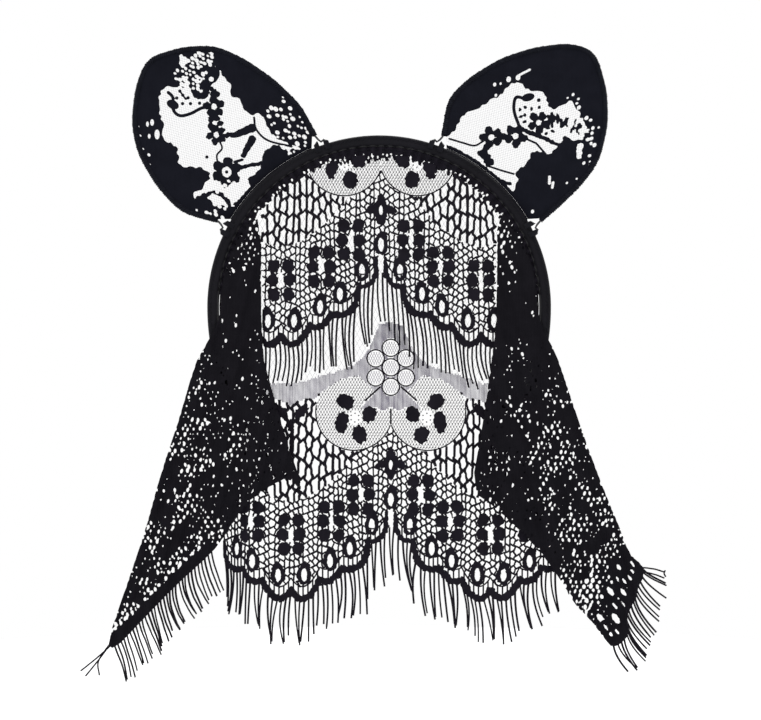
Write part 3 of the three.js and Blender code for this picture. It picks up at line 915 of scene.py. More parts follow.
def right_ear_eyelets(cloth):
    pinholes(cloth, (16, 44, 30, 60), 2.1, 0.6, 15, (0.4, 0.8), lambda x, z: z < 58 - 0.3 * x)
    pinholes(cloth, (26, 24, 38, 56), 2.3, 0.42, 16, (0.35, 0.7))
    pinholes(cloth, (2, 45, 16, 56), 2.2, 0.45, 18, (0.4, 0.8), lambda x, z: z + 0.5 * x < 58)
    cloth.open(stroke([(19.8, 40), (22.4, 36)], [1.3, 1.0]), 0.3, 1.8)
    cloth.open(stroke([(18.6, 21), (20.4, 18.8)], 0.62))
    cloth.open(stroke([(21.4, 20.2), (22.6, 18.2)], 0.55))
    cloth.open(stroke([(-20.6, 46), (-18.8, 50.6)], 0.5))
    for x, z, wide in (
        (-26.1, 35.6, 0.7), (-23, 41.3, 1.0), (-20.4, 44.6, 1.0), (-22.6, 32.4, 0.6), (23, 4.6, 0.7),
        (-24.4, 37.6, 0.5),
    ):
        cloth.open(oval(x, z, wide, wide * 1.3, 0.5))


def ear(side, word, shape, flowers, eyelets, lace_material, tulle_material, roll_material):
    line = ear_line(shape)
    place = ear_place(side)
    rim = outline(ear_outline(line), 0)
    low, high = line.min(0), line.max(0)
    cloth = ClothStitch((low[0] - 1, -1.5, high[0] + 1, high[1] + 1), 0.42)
    flowers(cloth)
    eyelets(cloth)
    edge = ear_outline(line)
    cloth.work(stroke(edge[: len(line) - 6], 1.7), 0.35, 2.2)
    cloth.work(stroke(edge[-25:], 1.5), 0.3, 2.0)
    cloth.trim(rim)
    lace = cloth.mesh("ear_flower_lace_" + word, place, lace_material, 0.1, 0.3, 1.6)

    tulle = Threads()
    inside = rim[1]
    pitch = 1.15
    for lean in (-1, 1):
        for c in np.arange(low[0] - 90, high[0] + 90, pitch):
            w = np.arange(3.0, high[1], 0.8)
            u = c + lean * w * 0.62
            kept = (inside(u, w) > 0.05) & (cloth.at(u, w) < 0.5)
            if kept.any():
                tulle.lay_kept(place(u, w, 0.05 * lean), kept, 0.036)
    net = tulle.spun("ear_tulle_" + word, tulle_material, 3)

    roll = Threads()
    rng = np.random.default_rng(SEED + side)
    lengths = lengths_along(line)
    turns = int(lengths[-1] / 1.25)
    for strand, ply_radius in ((0, 0.34), (1, 0.34), (2, 0.3)):
        t = np.linspace(0, 1, turns * 10)
        at = t * lengths[-1]
        u = np.interp(at, lengths, line[:, 0])
        w = np.interp(at, lengths, line[:, 1])
        du, dw = np.gradient(u), np.gradient(w)
        size = np.hypot(du, dw)
        turn = 2 * math.pi * (turns * t / 2.2 + strand / 3) + 0.4 * np.sin(at / 3.1)
        radius = 0.86 + 0.1 * np.sin(at / 2.3 + strand)
        uu = u - dw / size * radius * np.cos(turn)
        ww = w + du / size * radius * np.cos(turn)
        roll.lay(place(uu, ww, radius * np.sin(turn)), ply_radius)
    for at in np.arange(2.0, lengths[-1] - 2, 2.1):
        u = np.interp(at, lengths, line[:, 0])
        w = np.interp(at, lengths, line[:, 1])
        bump = rng.uniform(0.55, 0.95)
        roll_u, roll_w = rng.uniform(-0.35, 0.35, 2)
        across = [u + roll_u - bump, u + roll_u, u + roll_u + bump]
        up = [w + roll_w - 0.4, w + roll_w + 0.5, w + roll_w - 0.3]
        roll.lay(place(across, up, [0.5, 0.95, 0.5]), 0.3)
    binding = roll.spun("ear_rolled_edge_" + word, roll_material, 6)

    sleeve = tube_mesh("ear_edge_sleeve_" + word, place(line[:, 0], line[:, 1], 0.0), 0.82, lace_material, 10)
    for piece in (lace, net, binding, sleeve):
        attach(piece, "ear_" + word)
    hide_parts("ear_lace_" + word)
    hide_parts("ear_binding_" + word)
    return lace


def tube_mesh(name, path, radius, material, sides=8):
    """A closed tube along a path, as an edge roll."""
    path = np.asarray(path, float)
    tangent = np.gradient(path, axis=0)
    tangent /= np.linalg.norm(tangent, axis=1)[:, None]
    across = np.cross(tangent, [0, 1, 0])
    across /= np.linalg.norm(across, axis=1)[:, None]
    out = np.cross(across, tangent)
    points, faces = [], []
    for p, a, o in zip(path, across, out):
        for k in range(sides):
            t = 2 * math.pi * k / sides
            points.append(p + radius * (math.cos(t) * a + math.sin(t) * o))
    for i in range(len(path) - 1):
        for k in range(sides):
            a, b = i * sides + k, i * sides + (k + 1) % sides
            faces.append([a, a + sides, b + sides, b])
    faces.append(list(range(sides)))
    faces.append([(len(path) - 1) * sides + k for k in reversed(range(sides))])
    obj = made_mesh(name, points, faces, material)
    outward(obj)
    return obj


def outward(obj):
    """Turns a closed mesh's faces outwards if they point in."""
    mesh = obj.data
    mesh.calc_loop_triangles()
    co = np.array([v.co for v in mesh.vertices])
    tri = np.array([t.vertices for t in mesh.loop_triangles])
    a, b, c = co[tri[:, 0]], co[tri[:, 1]], co[tri[:, 2]]
    if np.einsum("ij,ij->", a, np.cross(b, c)) < 0:
        mesh.flip_normals()


def lashing(side, foot, word, material):
    """Thread wound over one foot of an ear's wire, open where the leg swings.

    From the inner foot one thread runs on to the outer one, and closes the gap under the ear's hem.
    """
    spread = math.asin(FOOT_HALF / math.hypot(FOOT_HALF, HINGE_RISE))
    angle = side * (EAR_TURN + foot * spread)
    rng = np.random.default_rng(SEED + 7 * side + 3 * foot)
    threads = Threads()
    half = BAND_HALF + 0.75
    for shift in (-2.95, -2.45, -1.95, -1.45, 1.45, 1.95, 2.45, 2.95):
        for layer in (0, 1):
            path = []
            bulge = 1.9 - 0.7 * (abs(shift) - 1.4) - 0.4 * layer
            skew = rng.uniform(-0.12, 0.12) + (0.2 if layer else -0.2)
            for t in np.linspace(-1, 1, 23):
                y = half * math.sin(t * math.pi / 2 * 0.999)
                corner = max(0.0, abs(t) - 0.55) / 0.45
                rise = COVER_OUTSIDE + 0.35 + bulge * (1 - abs(y / half) ** 2.2) - 3.1 * corner**2
                path.append(hoop_point(angle + (shift + skew * t) / COVER_OUTSIDE, rise, y))
            threads.lay(path, 0.27)
    if foot < 0:
        run = np.linspace(-spread + 0.06, spread - 0.06, 60)
        threads.lay([hoop_point(side * (EAR_TURN + t), COVER_OUTSIDE + 0.29, 0.0) for t in run], 0.29)
    obj = threads.spun("foot_winding_" + word, material, 6)
    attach(obj, "band")
    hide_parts("foot_lashing_" + word)
    return obj


# --- The veil lace: its repeating pattern ------------------------------------------
# a runs across from a repeat's middle, b up from the valley between two scallops.

REPEAT = 87.2
SCALLOP_STEPS = 14  # points on each lobe of the edge
CUSPS = ((1.9, 3), (9.8, -3.2), (21.5, -15.5), (31.0, -20.5), (43.6, -25))
LOBES = ((5.2, -2.6), (13.0, -13.8), (26.2, -20.8), (37.5, -28.6))


def folded_across(a):
    """Distance from the nearest repeat's middle."""
    a = np.abs(np.asarray(a, float)) % REPEAT
    return np.where(a > REPEAT / 2, REPEAT - a, a)


def scallop_path():
    """Half of the scalloped edge, from the valley to the lowest point."""
    out = []
    for (a0, b0), (a1, b1), (am, bm) in zip(CUSPS[:-1], CUSPS[1:], LOBES):
        qa, qb = 2 * am - (a0 + a1) / 2, 2 * bm - (b0 + b1) / 2
        for t in np.linspace(0, 1, SCALLOP_STEPS, endpoint=False):
            start, pull, stop = (1 - t) ** 2, 2 * t * (1 - t), t * t
            out.append((start * a0 + pull * qa + stop * a1, start * b0 + pull * qb + stop * b1))
    return np.array(out + [CUSPS[-1]])


SCALLOPS = scallop_path()


def edge_height(a):
    """Height of the scalloped edge at that distance across."""
    order = np.argsort(SCALLOPS[:, 0])
    return np.interp(folded_across(a), SCALLOPS[order, 0], SCALLOPS[order, 1])


def repeats(a, span):
    """Every place across the span where a motif at a falls, with its side."""
    out = []
    for k in range(-2, 3):
        for side in (-1, 1):
            x = side * a + k * REPEAT
            new = all(abs(x - o[0]) > 0.01 for o in out)
            if new and span[0] - 6 < x < span[1] + 6:
                out.append((x, side))
    return out


RINGS = ((0, 16.6), (8.3, 5.2), (17.9, -5.0), (26.6, -10.5), (37.9, -16.6))
SPRIGS = ((13.1, 18.3), (26.0, 6.7), (43.6, 0.9))
FAN = (16.0, 54.5)
FAN_RADIUS = 16.8
BLOOM = 74.0
BLOOM_CIRCLES = ((0, 0), (0, 8.5), (0, -8.5), (-6.6, 3.9), (6.6, 3.9), (-6.6, -4.4), (6.6, -4.4))
BLOOM_RADIUS = 3.75


def work_motifs(cloth, centre, valley, span):
    """Border, rings, sprigs, diamond and petals, in cloth stitch."""

    def put(make, a, b):
        for x, side in repeats(a, span):
            make(centre + x, valley + b, side)

    for k in range(-2, 3):
        for side in (-1, 1):
            path = np.stack([centre + k * REPEAT + side * SCALLOPS[:, 0], valley + SCALLOPS[:, 1] + 1.7], -1)
            if path[:, 0].max() > centre + span[0] - 4 and path[:, 0].min() < centre + span[1] + 4:
                cloth.work(stroke(path, np.interp(SCALLOPS[:, 0], (2, 9, 12), (1.0, 1.15, 1.5))), 0.5, 1.7)

    def ring(x, z, side):
        cloth.work(oval(x, z - 0.3, 3.2, 4.4), 0.35, 1.7)
        cloth.work(oval(x - side * 0.4, z + 2.6, 2.4, 3.1), 0.3, 1.5)
        cloth.open(oval(x, z - 0.2, 1.25, 2.9), 0.12, 1.3)

    for a, b in RINGS:
        put(ring, a, b)

    def sprig(x, z, side):
        for column in (-1, 1):
            for row in (-1, 0, 1):
                aside = column * (3.2 + 0.4 * (row == 0))
                cloth.work(oval(x + aside, z + row * 6.2, 2.7, 2.95, column * row * 0.5), 0.5, 1.9)
        cloth.work(stroke([(x - 2.1, z - 8.6), (x - 2.3, z - 4)], 0.7), 0.2, 1.6)
        cloth.work(stroke([(x + 2.1, z + 8.6), (x + 2.3, z + 4)], 0.7), 0.2, 1.6)
        for drop in (-7.0, 7.0):
            cloth.open(oval(x, z + drop, 0.6, 1.7))
        cloth.open(oval(x, z, 1.1, 3.5))

    for a, b in SPRIGS:
        put(sprig, a, b)

    def diamond(x, z, side):
        cloth.work(
            outline([
                (x, z + 8.5), (x + 2.9, z + 3), (x + 3.0, z - 3), (x, z - 8), (x - 3.0, z - 3), (x - 2.9, z + 3),
            ], 2), 0.4, 1.8,
        )
        for lean in (-1, 1):
            cloth.work(oval(x + lean * 4.2, z + 0.3, 2.8, 1.7, -lean * 0.5), 0.4, 1.6)
        cloth.open(oval(x, z, 0.85, 2.1))

    put(diamond, 0, 31.4)

    def chain(x, z, side):
        for lean in (-1, 1):
            cloth.work(stroke([
                (x + lean * 1.9, z + 10.6), (x + lean * 2.1, z + 2.6),
            ], [0.75, 1.0]), 0.25, 1.5)

    put(chain, 0, 0)

    def petals(x, z, side):
        for dx, dz, rx, rz, tilt in (
            (4.2, 7.0, 4.0, 3.3, 0.5), (5.7, -1.9, 2.8, 4.9, 0.15), (-2.2, -7.4, 3.2, 3.9, -0.2),
            (-6.2, 1.3, 3.0, 3.7, 0.5),
        ):
            cloth.work(oval(x + side * dx, z + dz, rx, rz, side * tilt), 0.5, 1.9)
        for k in range(6):
            t = 0.5 + k * math.pi / 3
            cloth.work(oval(x + 1.9 * math.cos(t), z + 1.9 * math.sin(t), 0.36, 0.36))

    put(petals, FAN[0] - 0.3, FAN[1] - 2.5)

    def tulip(x, z, side):
        for lean in (-1, 1):
            cloth.work(oval(x + lean * 4.4, z + 1.2, 3.4, 2.2, lean * 0.6), 0.5, 1.7)
            cloth.work(stroke([
                (x, z - 5), (x + lean * 3.4, z - 1), (x + lean * 6.6, z + 4.4),
            ], 0.7), 0.25, 1.6)
        cloth.work(oval(x, z - 5.4, 1.4, 3.0), 0.4, 1.6)
        cloth.work(stroke([(x, z - 9), (x, z - 16)], 0.7), 0.2, 2)

    put(tulip, REPEAT / 2, 53.5)


def in_circle(x, z, cx, cz, radius):
    return (x - cx) ** 2 + (z - cz) ** 2 < radius**2


def sheer_top(a):
    """Upper edge of the closely threaded band, above the fans."""
    across = (0, 5, 6.5, 9.3, 13, 17.8, 28, 40, 90)
    return np.interp(np.abs(a), across, (94, 93, 89.5, 82.5, 78, 74.5, 71.5, 67.5, 66))


def sheer_bottom(a):
    folded = folded_across(a)
    return np.interp(folded, (0, 3, 8, 14, 22, 30, 34, 38, 43.6), (58, 60, 64, 70, 68.5, 63, 59.5, 59.5, 57))


def in_fan(a, b):
    folded = folded_across(a)
    return in_circle(folded, b, FAN[0], FAN[1], FAN_RADIUS) & (np.abs(a) < REPEAT)


def close_net_top(a):
    """Where the close net round the motifs gives way to the long open one."""
    return np.interp(folded_across(a), (0, 8, 16, 25, 35, 43.6), (50, 43, 35, 25, 18, 15))


def net_threads(threads, place, cloth, centre, valley, span, inside):
    """The open net: upright pillars, and laid threads that cross between them and draw them together."""
    rng = np.random.default_rng(SEED + 2)
    b = np.arange(-32, 70, 0.55)
    for close, pitch, pillar, laid, stay, cross in (
        (True, 2.15, 0.36, 0.4, 1.7, 1.5),
        (False, 2.8, 0.6, 0.5, 4.6, 2.8),
    ):
        count = int((span[1] - span[0]) / pitch) + 2
        shares = []
        for _ in range(count):
            turns = [b[0] - rng.uniform(0, stay + cross)]
            while turns[-1] < b[-1]:
                turns.append(turns[-1] + stay * rng.uniform(0.7, 1.3) + cross)
            shares.append(sum((-1) ** k * np.clip((b - start) / cross, 0, 1) for k, start in enumerate(turns)))
        shares = np.array(shares)
        joined = 4 * shares * (1 - shares)
        joined_before = np.vstack([np.zeros(len(b)), joined[:-1]])
        number = np.arange(count)[:, None]
        pillars = span[0] + pitch * (number + rng.uniform(-0.14, 0.14, (count, 1)))
        pillars = pillars + 0.22 * np.sin(b / 7.5 + 0.5 * number) + 0.012 * (b - 20) * np.sin(0.37 * number)
        pillars = pillars + 0.2 * pitch * (joined - joined_before)
        for i in range(count - 1):
            swell = 1 + 0.1 * np.sin(b / 2.3 + 1.7 * i) + 0.25 * np.maximum(joined[i], joined_before[i])
            share = shares[i] ** 2 * (3 - 2 * shares[i])
            reach = pillars[i + 1] - pillars[i]
            laid_across = pillars[i] + 0.4 * pillar + (reach - 0.8 * pillar) * share
            for across, radius in (
                (pillars[i], pillar * swell * rng.uniform(0.88, 1.12)),
                (laid_across, laid * (0.75 + 0.35 * joined[i]) * rng.uniform(0.88, 1.12)),
            ):
                x, z = centre + across, valley + b
                kept = (b < close_net_top(across)) if close else (b > close_net_top(across) - 0.5)
                kept &= inside(x, z) & (b - edge_height(across) > 6.6)
                kept &= ~in_fan(across, b) & (b < sheer_bottom(across) + 1)
                kept &= cloth.at(x, z) < 0.6
                for ra, rb in RINGS:
                    kept &= ~in_hole(across, b, ra, rb - 0.2, 1.3, 2.9)
                for sa, sb in SPRIGS:
                    kept &= ~in_hole(across, b, sa, sb, 1.0, 3.3)
                kept &= ~in_hole(across, b, 0, 31.4, 0.85, 2.1)
                kept &= ~in_hole(across, b, 0, 5, 1.5, 8.5)
                threads.lay_kept(place(x, z), kept, radius)


def in_hole(a, b, ra, rb, wide, high):
    return ((folded_across(a) - ra) / wide) ** 2 + ((b - rb) / high) ** 2 < 1


def edge_bars(threads, place, centre, valley, span, inside):
    """Short upright bars in each scallop, between the border and a thin arch over it."""
    for k in range(-2, 3):
        for side in (-1, 1):
            for index in range(len(CUSPS) - 1):
                half = SCALLOPS[index * SCALLOP_STEPS : (index + 1) * SCALLOP_STEPS + 1]
                across = centre + k * REPEAT + side * half[:, 0]
                arch = np.stack([across, valley + half[:, 1] + 7.0], -1)
                keep = inside(arch[:, 0], arch[:, 1] - 4)
                keep &= (arch[:, 0] > centre + span[0]) & (arch[:, 0] < centre + span[1])
                threads.lay_kept(place(arch[:, 0], arch[:, 1]), keep, 0.36)
                width = half[-1, 0] - half[0, 0]
                bars = max(4, int(width / 1.95))
                for a in half[0, 0] + width * (np.arange(bars) + 0.5) / bars:
                    b = np.interp(a, half[:, 0], half[:, 1])
                    x = centre + k * REPEAT + side * a
                    if not centre + span[0] < x < centre + span[1]:
                        continue
                    z = valley + np.linspace(b + 2.4, b + 7.1, 5)
                    if inside(np.full(5, x), z).all():
                        threads.lay(place(np.full(5, x), z), 0.36)


def fan_net(threads, knots, place, cloth, centre, valley, span, inside):
    """Fine dotted net inside each fan and above it, with a thin outline under it."""
    for x0, side in repeats(FAN[0], span):
        cx, cz = centre + x0, valley + FAN[1]
        t = np.linspace(0, 2 * math.pi, 73)
        x, z = cx + FAN_RADIUS * np.cos(t), cz + FAN_RADIUS * np.sin(t)
        other = centre + x0 - 2 * side * FAN[0]
        shown = inside(x, z) & (z < cz + 3) & ~in_circle(x, z, other, cz, FAN_RADIUS - 0.2)
        threads.lay_kept(place(x, z, 0.1), shown, 0.3)
        pitch = 1.3
        for lean in (-1, 1):
            for c in np.arange(-34, 34, pitch):
                w = np.arange(-18.2, 22, 0.65)
                u = c + lean * w * 0.6
                x, z = cx + u, cz + w
                under_sheer = z - valley < sheer_bottom(x - centre) + 0.6
                kept = under_sheer & (in_circle(x, z, cx, cz, FAN_RADIUS) | ((w > 0) & (np.abs(u) < 13)))
                kept &= inside(x, z) & (cloth.at(x, z) < 0.3) & ~in_circle(x, z, cx - side * 0.3, cz - 2.5, 2.9)
                kept &= ~in_wedge(x - centre, z - valley)
                kept &= ((x - centre) * side > 0) if abs(x0) < REPEAT / 2 else True
                kept &= off_bloom(x - centre, z - valley)
                threads.lay_kept(place(x, z), kept, 0.075)
                if lean == 1:
                    at_knot = kept & (np.arange(len(w)) % 2 == 0)
                    if at_knot.any():
                        knots.knot(place(x[at_knot], z[at_knot], 0.05), 0.27)


def bloom(threads, fine, place, centre, valley):
    """The round flower between the fans, and its two stems."""
    for bx, bz in BLOOM_CIRCLES:
        t = np.linspace(0, 2 * math.pi, 33)
        x = centre + bx + BLOOM_RADIUS * np.cos(t)
        z = valley + BLOOM + bz + BLOOM_RADIUS * np.sin(t)
        threads.lay(place(x, z, 0.15), 0.3)
        for lean in (-1, 1):
            for c in np.arange(-4, 4, 1.1):
                w = np.linspace(-3.6, 3.6, 9)
                u = c + lean * w * 0.5
                fine.lay_kept(place(centre + bx + u, valley + BLOOM + bz + w), u**2 + w**2 < 12.5, 0.08)
    for side in (-1, 1):
        stem = smooth_line([(side * 4.4, BLOOM - 8.4), (side * 8, BLOOM - 11.6), (side * 11.4, BLOOM - 14.6)])
        threads.lay(place(centre + stem[:, 0], valley + stem[:, 1], 0.1), 0.4)
    stem = np.linspace(FAN[1] + 1.5, FAN[1] - 5.5, 8)
    threads.lay(place(np.full(8, centre), valley + stem, 0.1), 0.38)


def off_bloom(a, b):
    """Outside every ring of the bloom."""
    return np.all([~in_circle(a, b, bx, BLOOM + bz, BLOOM_RADIUS) for bx, bz in BLOOM_CIRCLES], axis=0)


def in_wedge(a, b):
    """The small threaded wedge under the bloom, between its stems."""
    return (b < BLOOM - 8.4) & (b > 55.5 + 0.8 * np.cos(a * 0.9)) & (np.abs(a) < 4.2 + BLOOM - 8.4 - b)


def sheer_threads(fine, place, cloth, centre, valley, span, inside):
    """Closely laid grey threads above the fans, sparser towards the sides."""
    rng = np.random.default_rng(SEED + 4)
    b = np.arange(30, 95, 0.7)
    for a0 in np.arange(span[0], span[1], 0.48):
        a = a0 + 0.07 * np.sin(b * 0.8 + a0)
        x, z = centre + a, valley + b
        kept = (b > sheer_bottom(a) + rng.uniform(-0.2, 0.2)) & (b < sheer_top(a) + rng.uniform(-0.5, 0.5))
        kept = (kept | in_wedge(a, b)) & inside(x, z)
        kept &= off_bloom(x - centre, z - valley)
        thin = np.interp(abs(a0), (0, 12, 30, 60), (0.2, 0.17, 0.15, 0.15))
        fine.lay_kept(place(x, z), kept, thin * rng.uniform(0.8, 1.2))


def eyelashes(threads, place, roots, length, lean, seed, gather=0.8):
    """A fringe of loose thread ends; neighbours cling together at their tips."""
    rng = np.random.default_rng(seed)
    roots = np.asarray(roots, float)
    group = 0
    length = np.broadcast_to(length, (len(roots),))
    tips = roots + np.stack([lean(roots) * length, -length], -1)
    tips[:, 0] += rng.uniform(-1.0, 1.0, len(tips)) * gather
    tips[:, 1] += rng.uniform(-1.6, 1.4, len(tips))
    while group < len(roots):
        size = int(rng.choice([1, 1, 2, 2, 3, 4]))
        members = slice(group, min(len(roots), group + size))
        if size > 1 and rng.random() < gather:
            together = tips[members].mean(0) + rng.uniform(-0.6, 0.6, 2)
            tips[members, 0] += (together[0] - tips[members, 0]) * (0.45 + 0.5 * gather)
        group += size
    sweep = np.sin(roots[:, 0] / 9.0 + seed) * 0.9
    for root, tip, bend in zip(roots, tips, sweep):
        t = np.linspace(0, 1, 9)
        bow = bend + rng.uniform(-0.35, 0.35)
        x = root[0] + (tip[0] - root[0]) * t**1.25 + bow * np.sin(math.pi * t)
        z = root[1] + 1.2 + (tip[1] - root[1] - 1.2) * t
        out = rng.uniform(-0.35, 0.35) * t
        threads.lay(place(x, z, out), LASH_RADIUS * (1 - 0.14 * t) * rng.uniform(0.85, 1.15))


def cling(x, z):
    """How far the hanging cloths swing out together, growing downwards."""
    drop = np.clip(-(z + 12) / 200, 0, 1)
    return drop**1.1 * (1.25 * np.sin(x / 10.5 + 0.7 * np.sin(z / 37)) + 0.35 * np.sin(x / 4.1 + z / 23))


def veil_place(y, narrowed=-999.0):
    """Hangs a cloth at depth y; left of narrowed its pattern is drawn in."""

    def place(x, z, out=0.0):
        x, z = np.asarray(x, float), np.asarray(z, float)
        x = np.where(x < narrowed, narrowed + (x - narrowed) / 1.4, x)
        near_hem = np.exp(-np.clip(CLOTH_RADIUS - np.hypot(x, z - ARCH_CENTRE), 0, 99) / 7)
        gathers = 0.22 * np.sin(x * 1.35) * near_hem
        return np.stack([x, y - np.broadcast_to(out, x.shape) - cling(x, z) + gathers, z], -1)

    return place


def veil(name, centre, valley, span, place, inside, fringe_length, lean, gather, seed, materials, sheer):
    """One tier of the face veil: net, cloth stitch, fine net, sheer band and fringe."""
    net_material, stitch_material, fine_material = materials
    low_z = valley - 31
    top_z = -1.5 if not sheer else valley + 95
    cloth = ClothStitch((centre + span[0] - 1, low_z, centre + span[1] + 1, top_z), 0.4)
    work_motifs(cloth, centre, valley, span)
    cloth.depth = np.where(inside(cloth.u, cloth.w), cloth.depth, -1)
    stitched = cloth.mesh(name + "_motifs", place, stitch_material, 0.16, 0.46, 1.3)

    net = Threads()
    net_threads(net, place, cloth, centre, valley, span, inside)
    edge_bars(net, place, centre, valley, span, inside)
    knots = Threads()
    dots = Threads()
    fan_net(dots, knots, place, cloth, centre, valley, span, inside)
    fine = Threads()
    if sheer:
        bloom(dots, fine, place, centre, valley)
    netting = net.spun(name + "_net", net_material, 6)
    dotted = dots.spun(name + "_fan_net", net_material, 4)
    knotted = knots.tied(name + "_fan_knots", net_material)
    pieces = [netting, stitched, dotted, knotted]

    if sheer:
        sheer_threads(fine, place, cloth, centre, valley, span, inside)
        pieces.append(fine.spun(name + "_sheer_band", fine_material, 4))

    roots = []
    for a in np.arange(span[0], span[1], 1.96):
        x, z = centre + a, valley + float(edge_height(a))
        if inside(np.array([x]), np.array([z + 2.2]))[0]:
            roots.append((x, z))
    lashes = Threads()
    from_middle = [abs(x - centre) for x, z in roots]
    reach = np.interp(from_middle, (0, 8, 18, 30, 50), fringe_length)
    eyelashes(lashes, place, roots, reach, lean, seed, gather)
    pieces.append(lashes.spun(name + "_fringe", net_material, 5))
    return pieces


def inside_arch(x, z, radius):
    return (np.hypot(x, z - ARCH_CENTRE) < radius) | (z < ARCH_CENTRE)


def tier_inside(x, z):
    half = np.where(z < -84, 51.2 - (np.clip(-84 - z, 0, 40)) * 0.3, 51.2)
    return inside_arch(x, z, CLOTH_RADIUS - 0.3) & (np.abs(x) < half)


def skirt_inside(x, z):
    left = np.interp(z, (-200, -171, -111, 0), (-73, -72.5, -57, -57))
    right = np.interp(z, (-200, -171, -111, 0), (80.5, 77.5, 57, 57))
    return inside_arch(x, z, CLOTH_RADIUS - 0.3) & (x > left) & (x < right)


def veil_tulle(material):
    """Barely visible tulle that carries the lower tier behind the upper one."""
    threads = Threads()
    place = veil_place(VEIL_Y)
    for lean in (-1, 1):
        for c in np.arange(-120, 120, 2.3):
            w = np.arange(0, 110, 1.6)
            x, z = c + lean * w * 0.55, -w - 1.5
            b, a = z - SKIRT_VALLEY, x - SKIRT_CENTRE
            kept = skirt_inside(x, z) & (b > sheer_top(a) - 2) & (np.abs(x) < 56.8)
            threads.lay_kept(place(x, z), kept, 0.04)
    return threads.spun("veil_upper_tulle", material, 3)


def ruffle(stitch_material, thread_material):
    """The gathered hem under the crown, with eyelets between its folds."""
    half = math.radians(85)
    radius = 67.6
    length = half * radius
    cloth = ClothStitch((-length - 1, -3.4, length + 1, 6.4), 0.4)
    rng = np.random.default_rng(SEED + 5)
    cloth.work(stroke([(-length, 4.7), (length, 4.7)], 1.3), 0.15, 2)

    def hang(s):
        """How far down the folds reach, deepest under the crown."""
        return 2.4 - 2.0 * math.exp(-((s / 24) ** 2)) + 0.5 * math.sin(s / 5.3)

    for s in np.arange(-length + 1, length - 1, 1.7):
        shift = rng.uniform(-0.4, 0.4)
        foot = (s + rng.uniform(-1.0, 1.0), hang(s) + rng.uniform(-0.7, 0.9))
        cloth.work(stroke([(s + shift, 4.5), foot], [0.9, rng.uniform(0.5, 0.85)]))
    for s in np.arange(-length + 1, length - 1, 5.2):
        cloth.work(stroke([(s, hang(s) + 1.2), (s + 5.2, hang(s) + rng.uniform(0.7, 1.7))], 0.6), 0.2, 1.5)
    for s in np.arange(-length + 3, length - 3, 2.1):
        if rng.random() < 0.6:
            cloth.open(oval(s, hang(s) + rng.uniform(0.6, 2.0), 0.45, 0.7))
    cloth.trim(stroke([(-length + 1.2, 1.7), (length - 1.2, 1.7)], 4.6))

    def place(s, d, out=0.0):
        s, d = np.asarray(s, float), np.asarray(d, float)
        angle = s / radius
        r = 64.0 + d
        fold = 0.85 * np.sin(s * 1.55 + 0.6 * np.sin(s * 0.31)) * np.interp(d, (-2, 5), (0.55, 1.0))
        y = -3.2 - fold * 0.9 - np.broadcast_to(out, s.shape)
        return np.stack([r * np.sin(angle), y, ARCH_CENTRE + r * np.cos(angle)], -1)

    piece = cloth.mesh("veil_ruffle", place, stitch_material, 0.14, 0.36, 1.0)
    threads = Threads()
    for s in np.arange(-length + 3, length - 3, 3.1):
        t = np.linspace(-1, 1, 5)
        threads.lay(place(s + t * 1.0, 4.7 + 0 * t, 0.42 + 0.25 * (1 - t * t)), 0.2)
    sewing = threads.spun("hem_running_stitches", thread_material, 5)
    for obj, nodes, slot in ((piece, "veil_heading", "veil_lace"), (sewing, "heading_thread", "thread")):
        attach(obj, "band")
        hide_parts(nodes)


# --- The side drapes -----------------------------------------------------------------

LEFT_DRAPE = [
    (-51.2, -24.8), (-51.2, -88), (-46.5, -106), (-39.5, -129), (-32.2, -151.5), (-39.5, -143),
    (-47.5, -147.5), (-54, -151),
    (-62, -161), (-68, -170), (-72.5, -176), (-87.5, -189.5), (-103, -205.5), (-115.4, -218.6),
    (-118.4, -215.6), (-110, -191), (-102, -167.5),
    (-95, -142), (-87.3, -119), (-80, -94), (-76.6, -88), (-69.6, -76), (-68.6, -60), (-66, -48.5),
    (-60.5, -36),
]
LEFT_DRAPE_EDGE = [(-72.5, -176), (-87.5, -189.5), (-103, -205.3), (-115.8, -217.6)]
RIGHT_DRAPE = [
    (51.2, -24.8), (51.2, -70), (49.5, -88), (45.5, -118), (39.8, -149), (50, -156), (68, -173), (79, -188),
    (84, -197.5), (92, -205.5), (98.5, -214.3),
    (101.5, -217.6), (106.9, -214), (108.9, -209.3), (107.7, -204.8), (108.9, -200.8), (111.9, -196.3),
    (112.2, -191.8),
    (114.9, -186.2), (114.4, -181.6), (108.4, -176.2), (104.8, -166), (99.5, -153.5), (89.5, -127),
    (80.8, -101), (77, -90),
    (69.6, -76), (68.6, -60), (66, -48.5), (60.5, -36),
]
RIGHT_DRAPE_EDGE = [
    (101.3, -216.8), (106, -213.6), (107.9, -209.3), (106.9, -204.8), (108.1, -200.8), (111, -196.3),
    (111.4, -191.8),
    (113.9, -186.2), (113.6, -182.6),
]
RIGHT_DRAPE_SLOTS = (
    (100.4, -192.8, 1.0, 2.3), (96.4, -204.8, 1.1, 2.4), (102.7, -204.6, 1.2, 2.7), (106.2, -193.3, 0.8, 1.8),
    (100.4, -211.2, 0.5, 1.8), (98.4, -208.4, 0.45, 1.6), (103.2, -210.2, 0.45, 1.4), (108.9, -187, 0.5, 1.5),
    (109.9, -184.0, 0.55, 1.5), (109.9, -180.8, 0.5, 1.6), (104.4, -196.6, 0.45, 1.4),
    (106.2, -198.6, 0.4, 1.3),
    (104.2, -188.2, 0.5, 1.6), (106.8, -188.8, 0.45, 1.5), (104.2, -182.6, 0.7, 1.5),
    (102.4, -199.2, 0.5, 1.6),
)

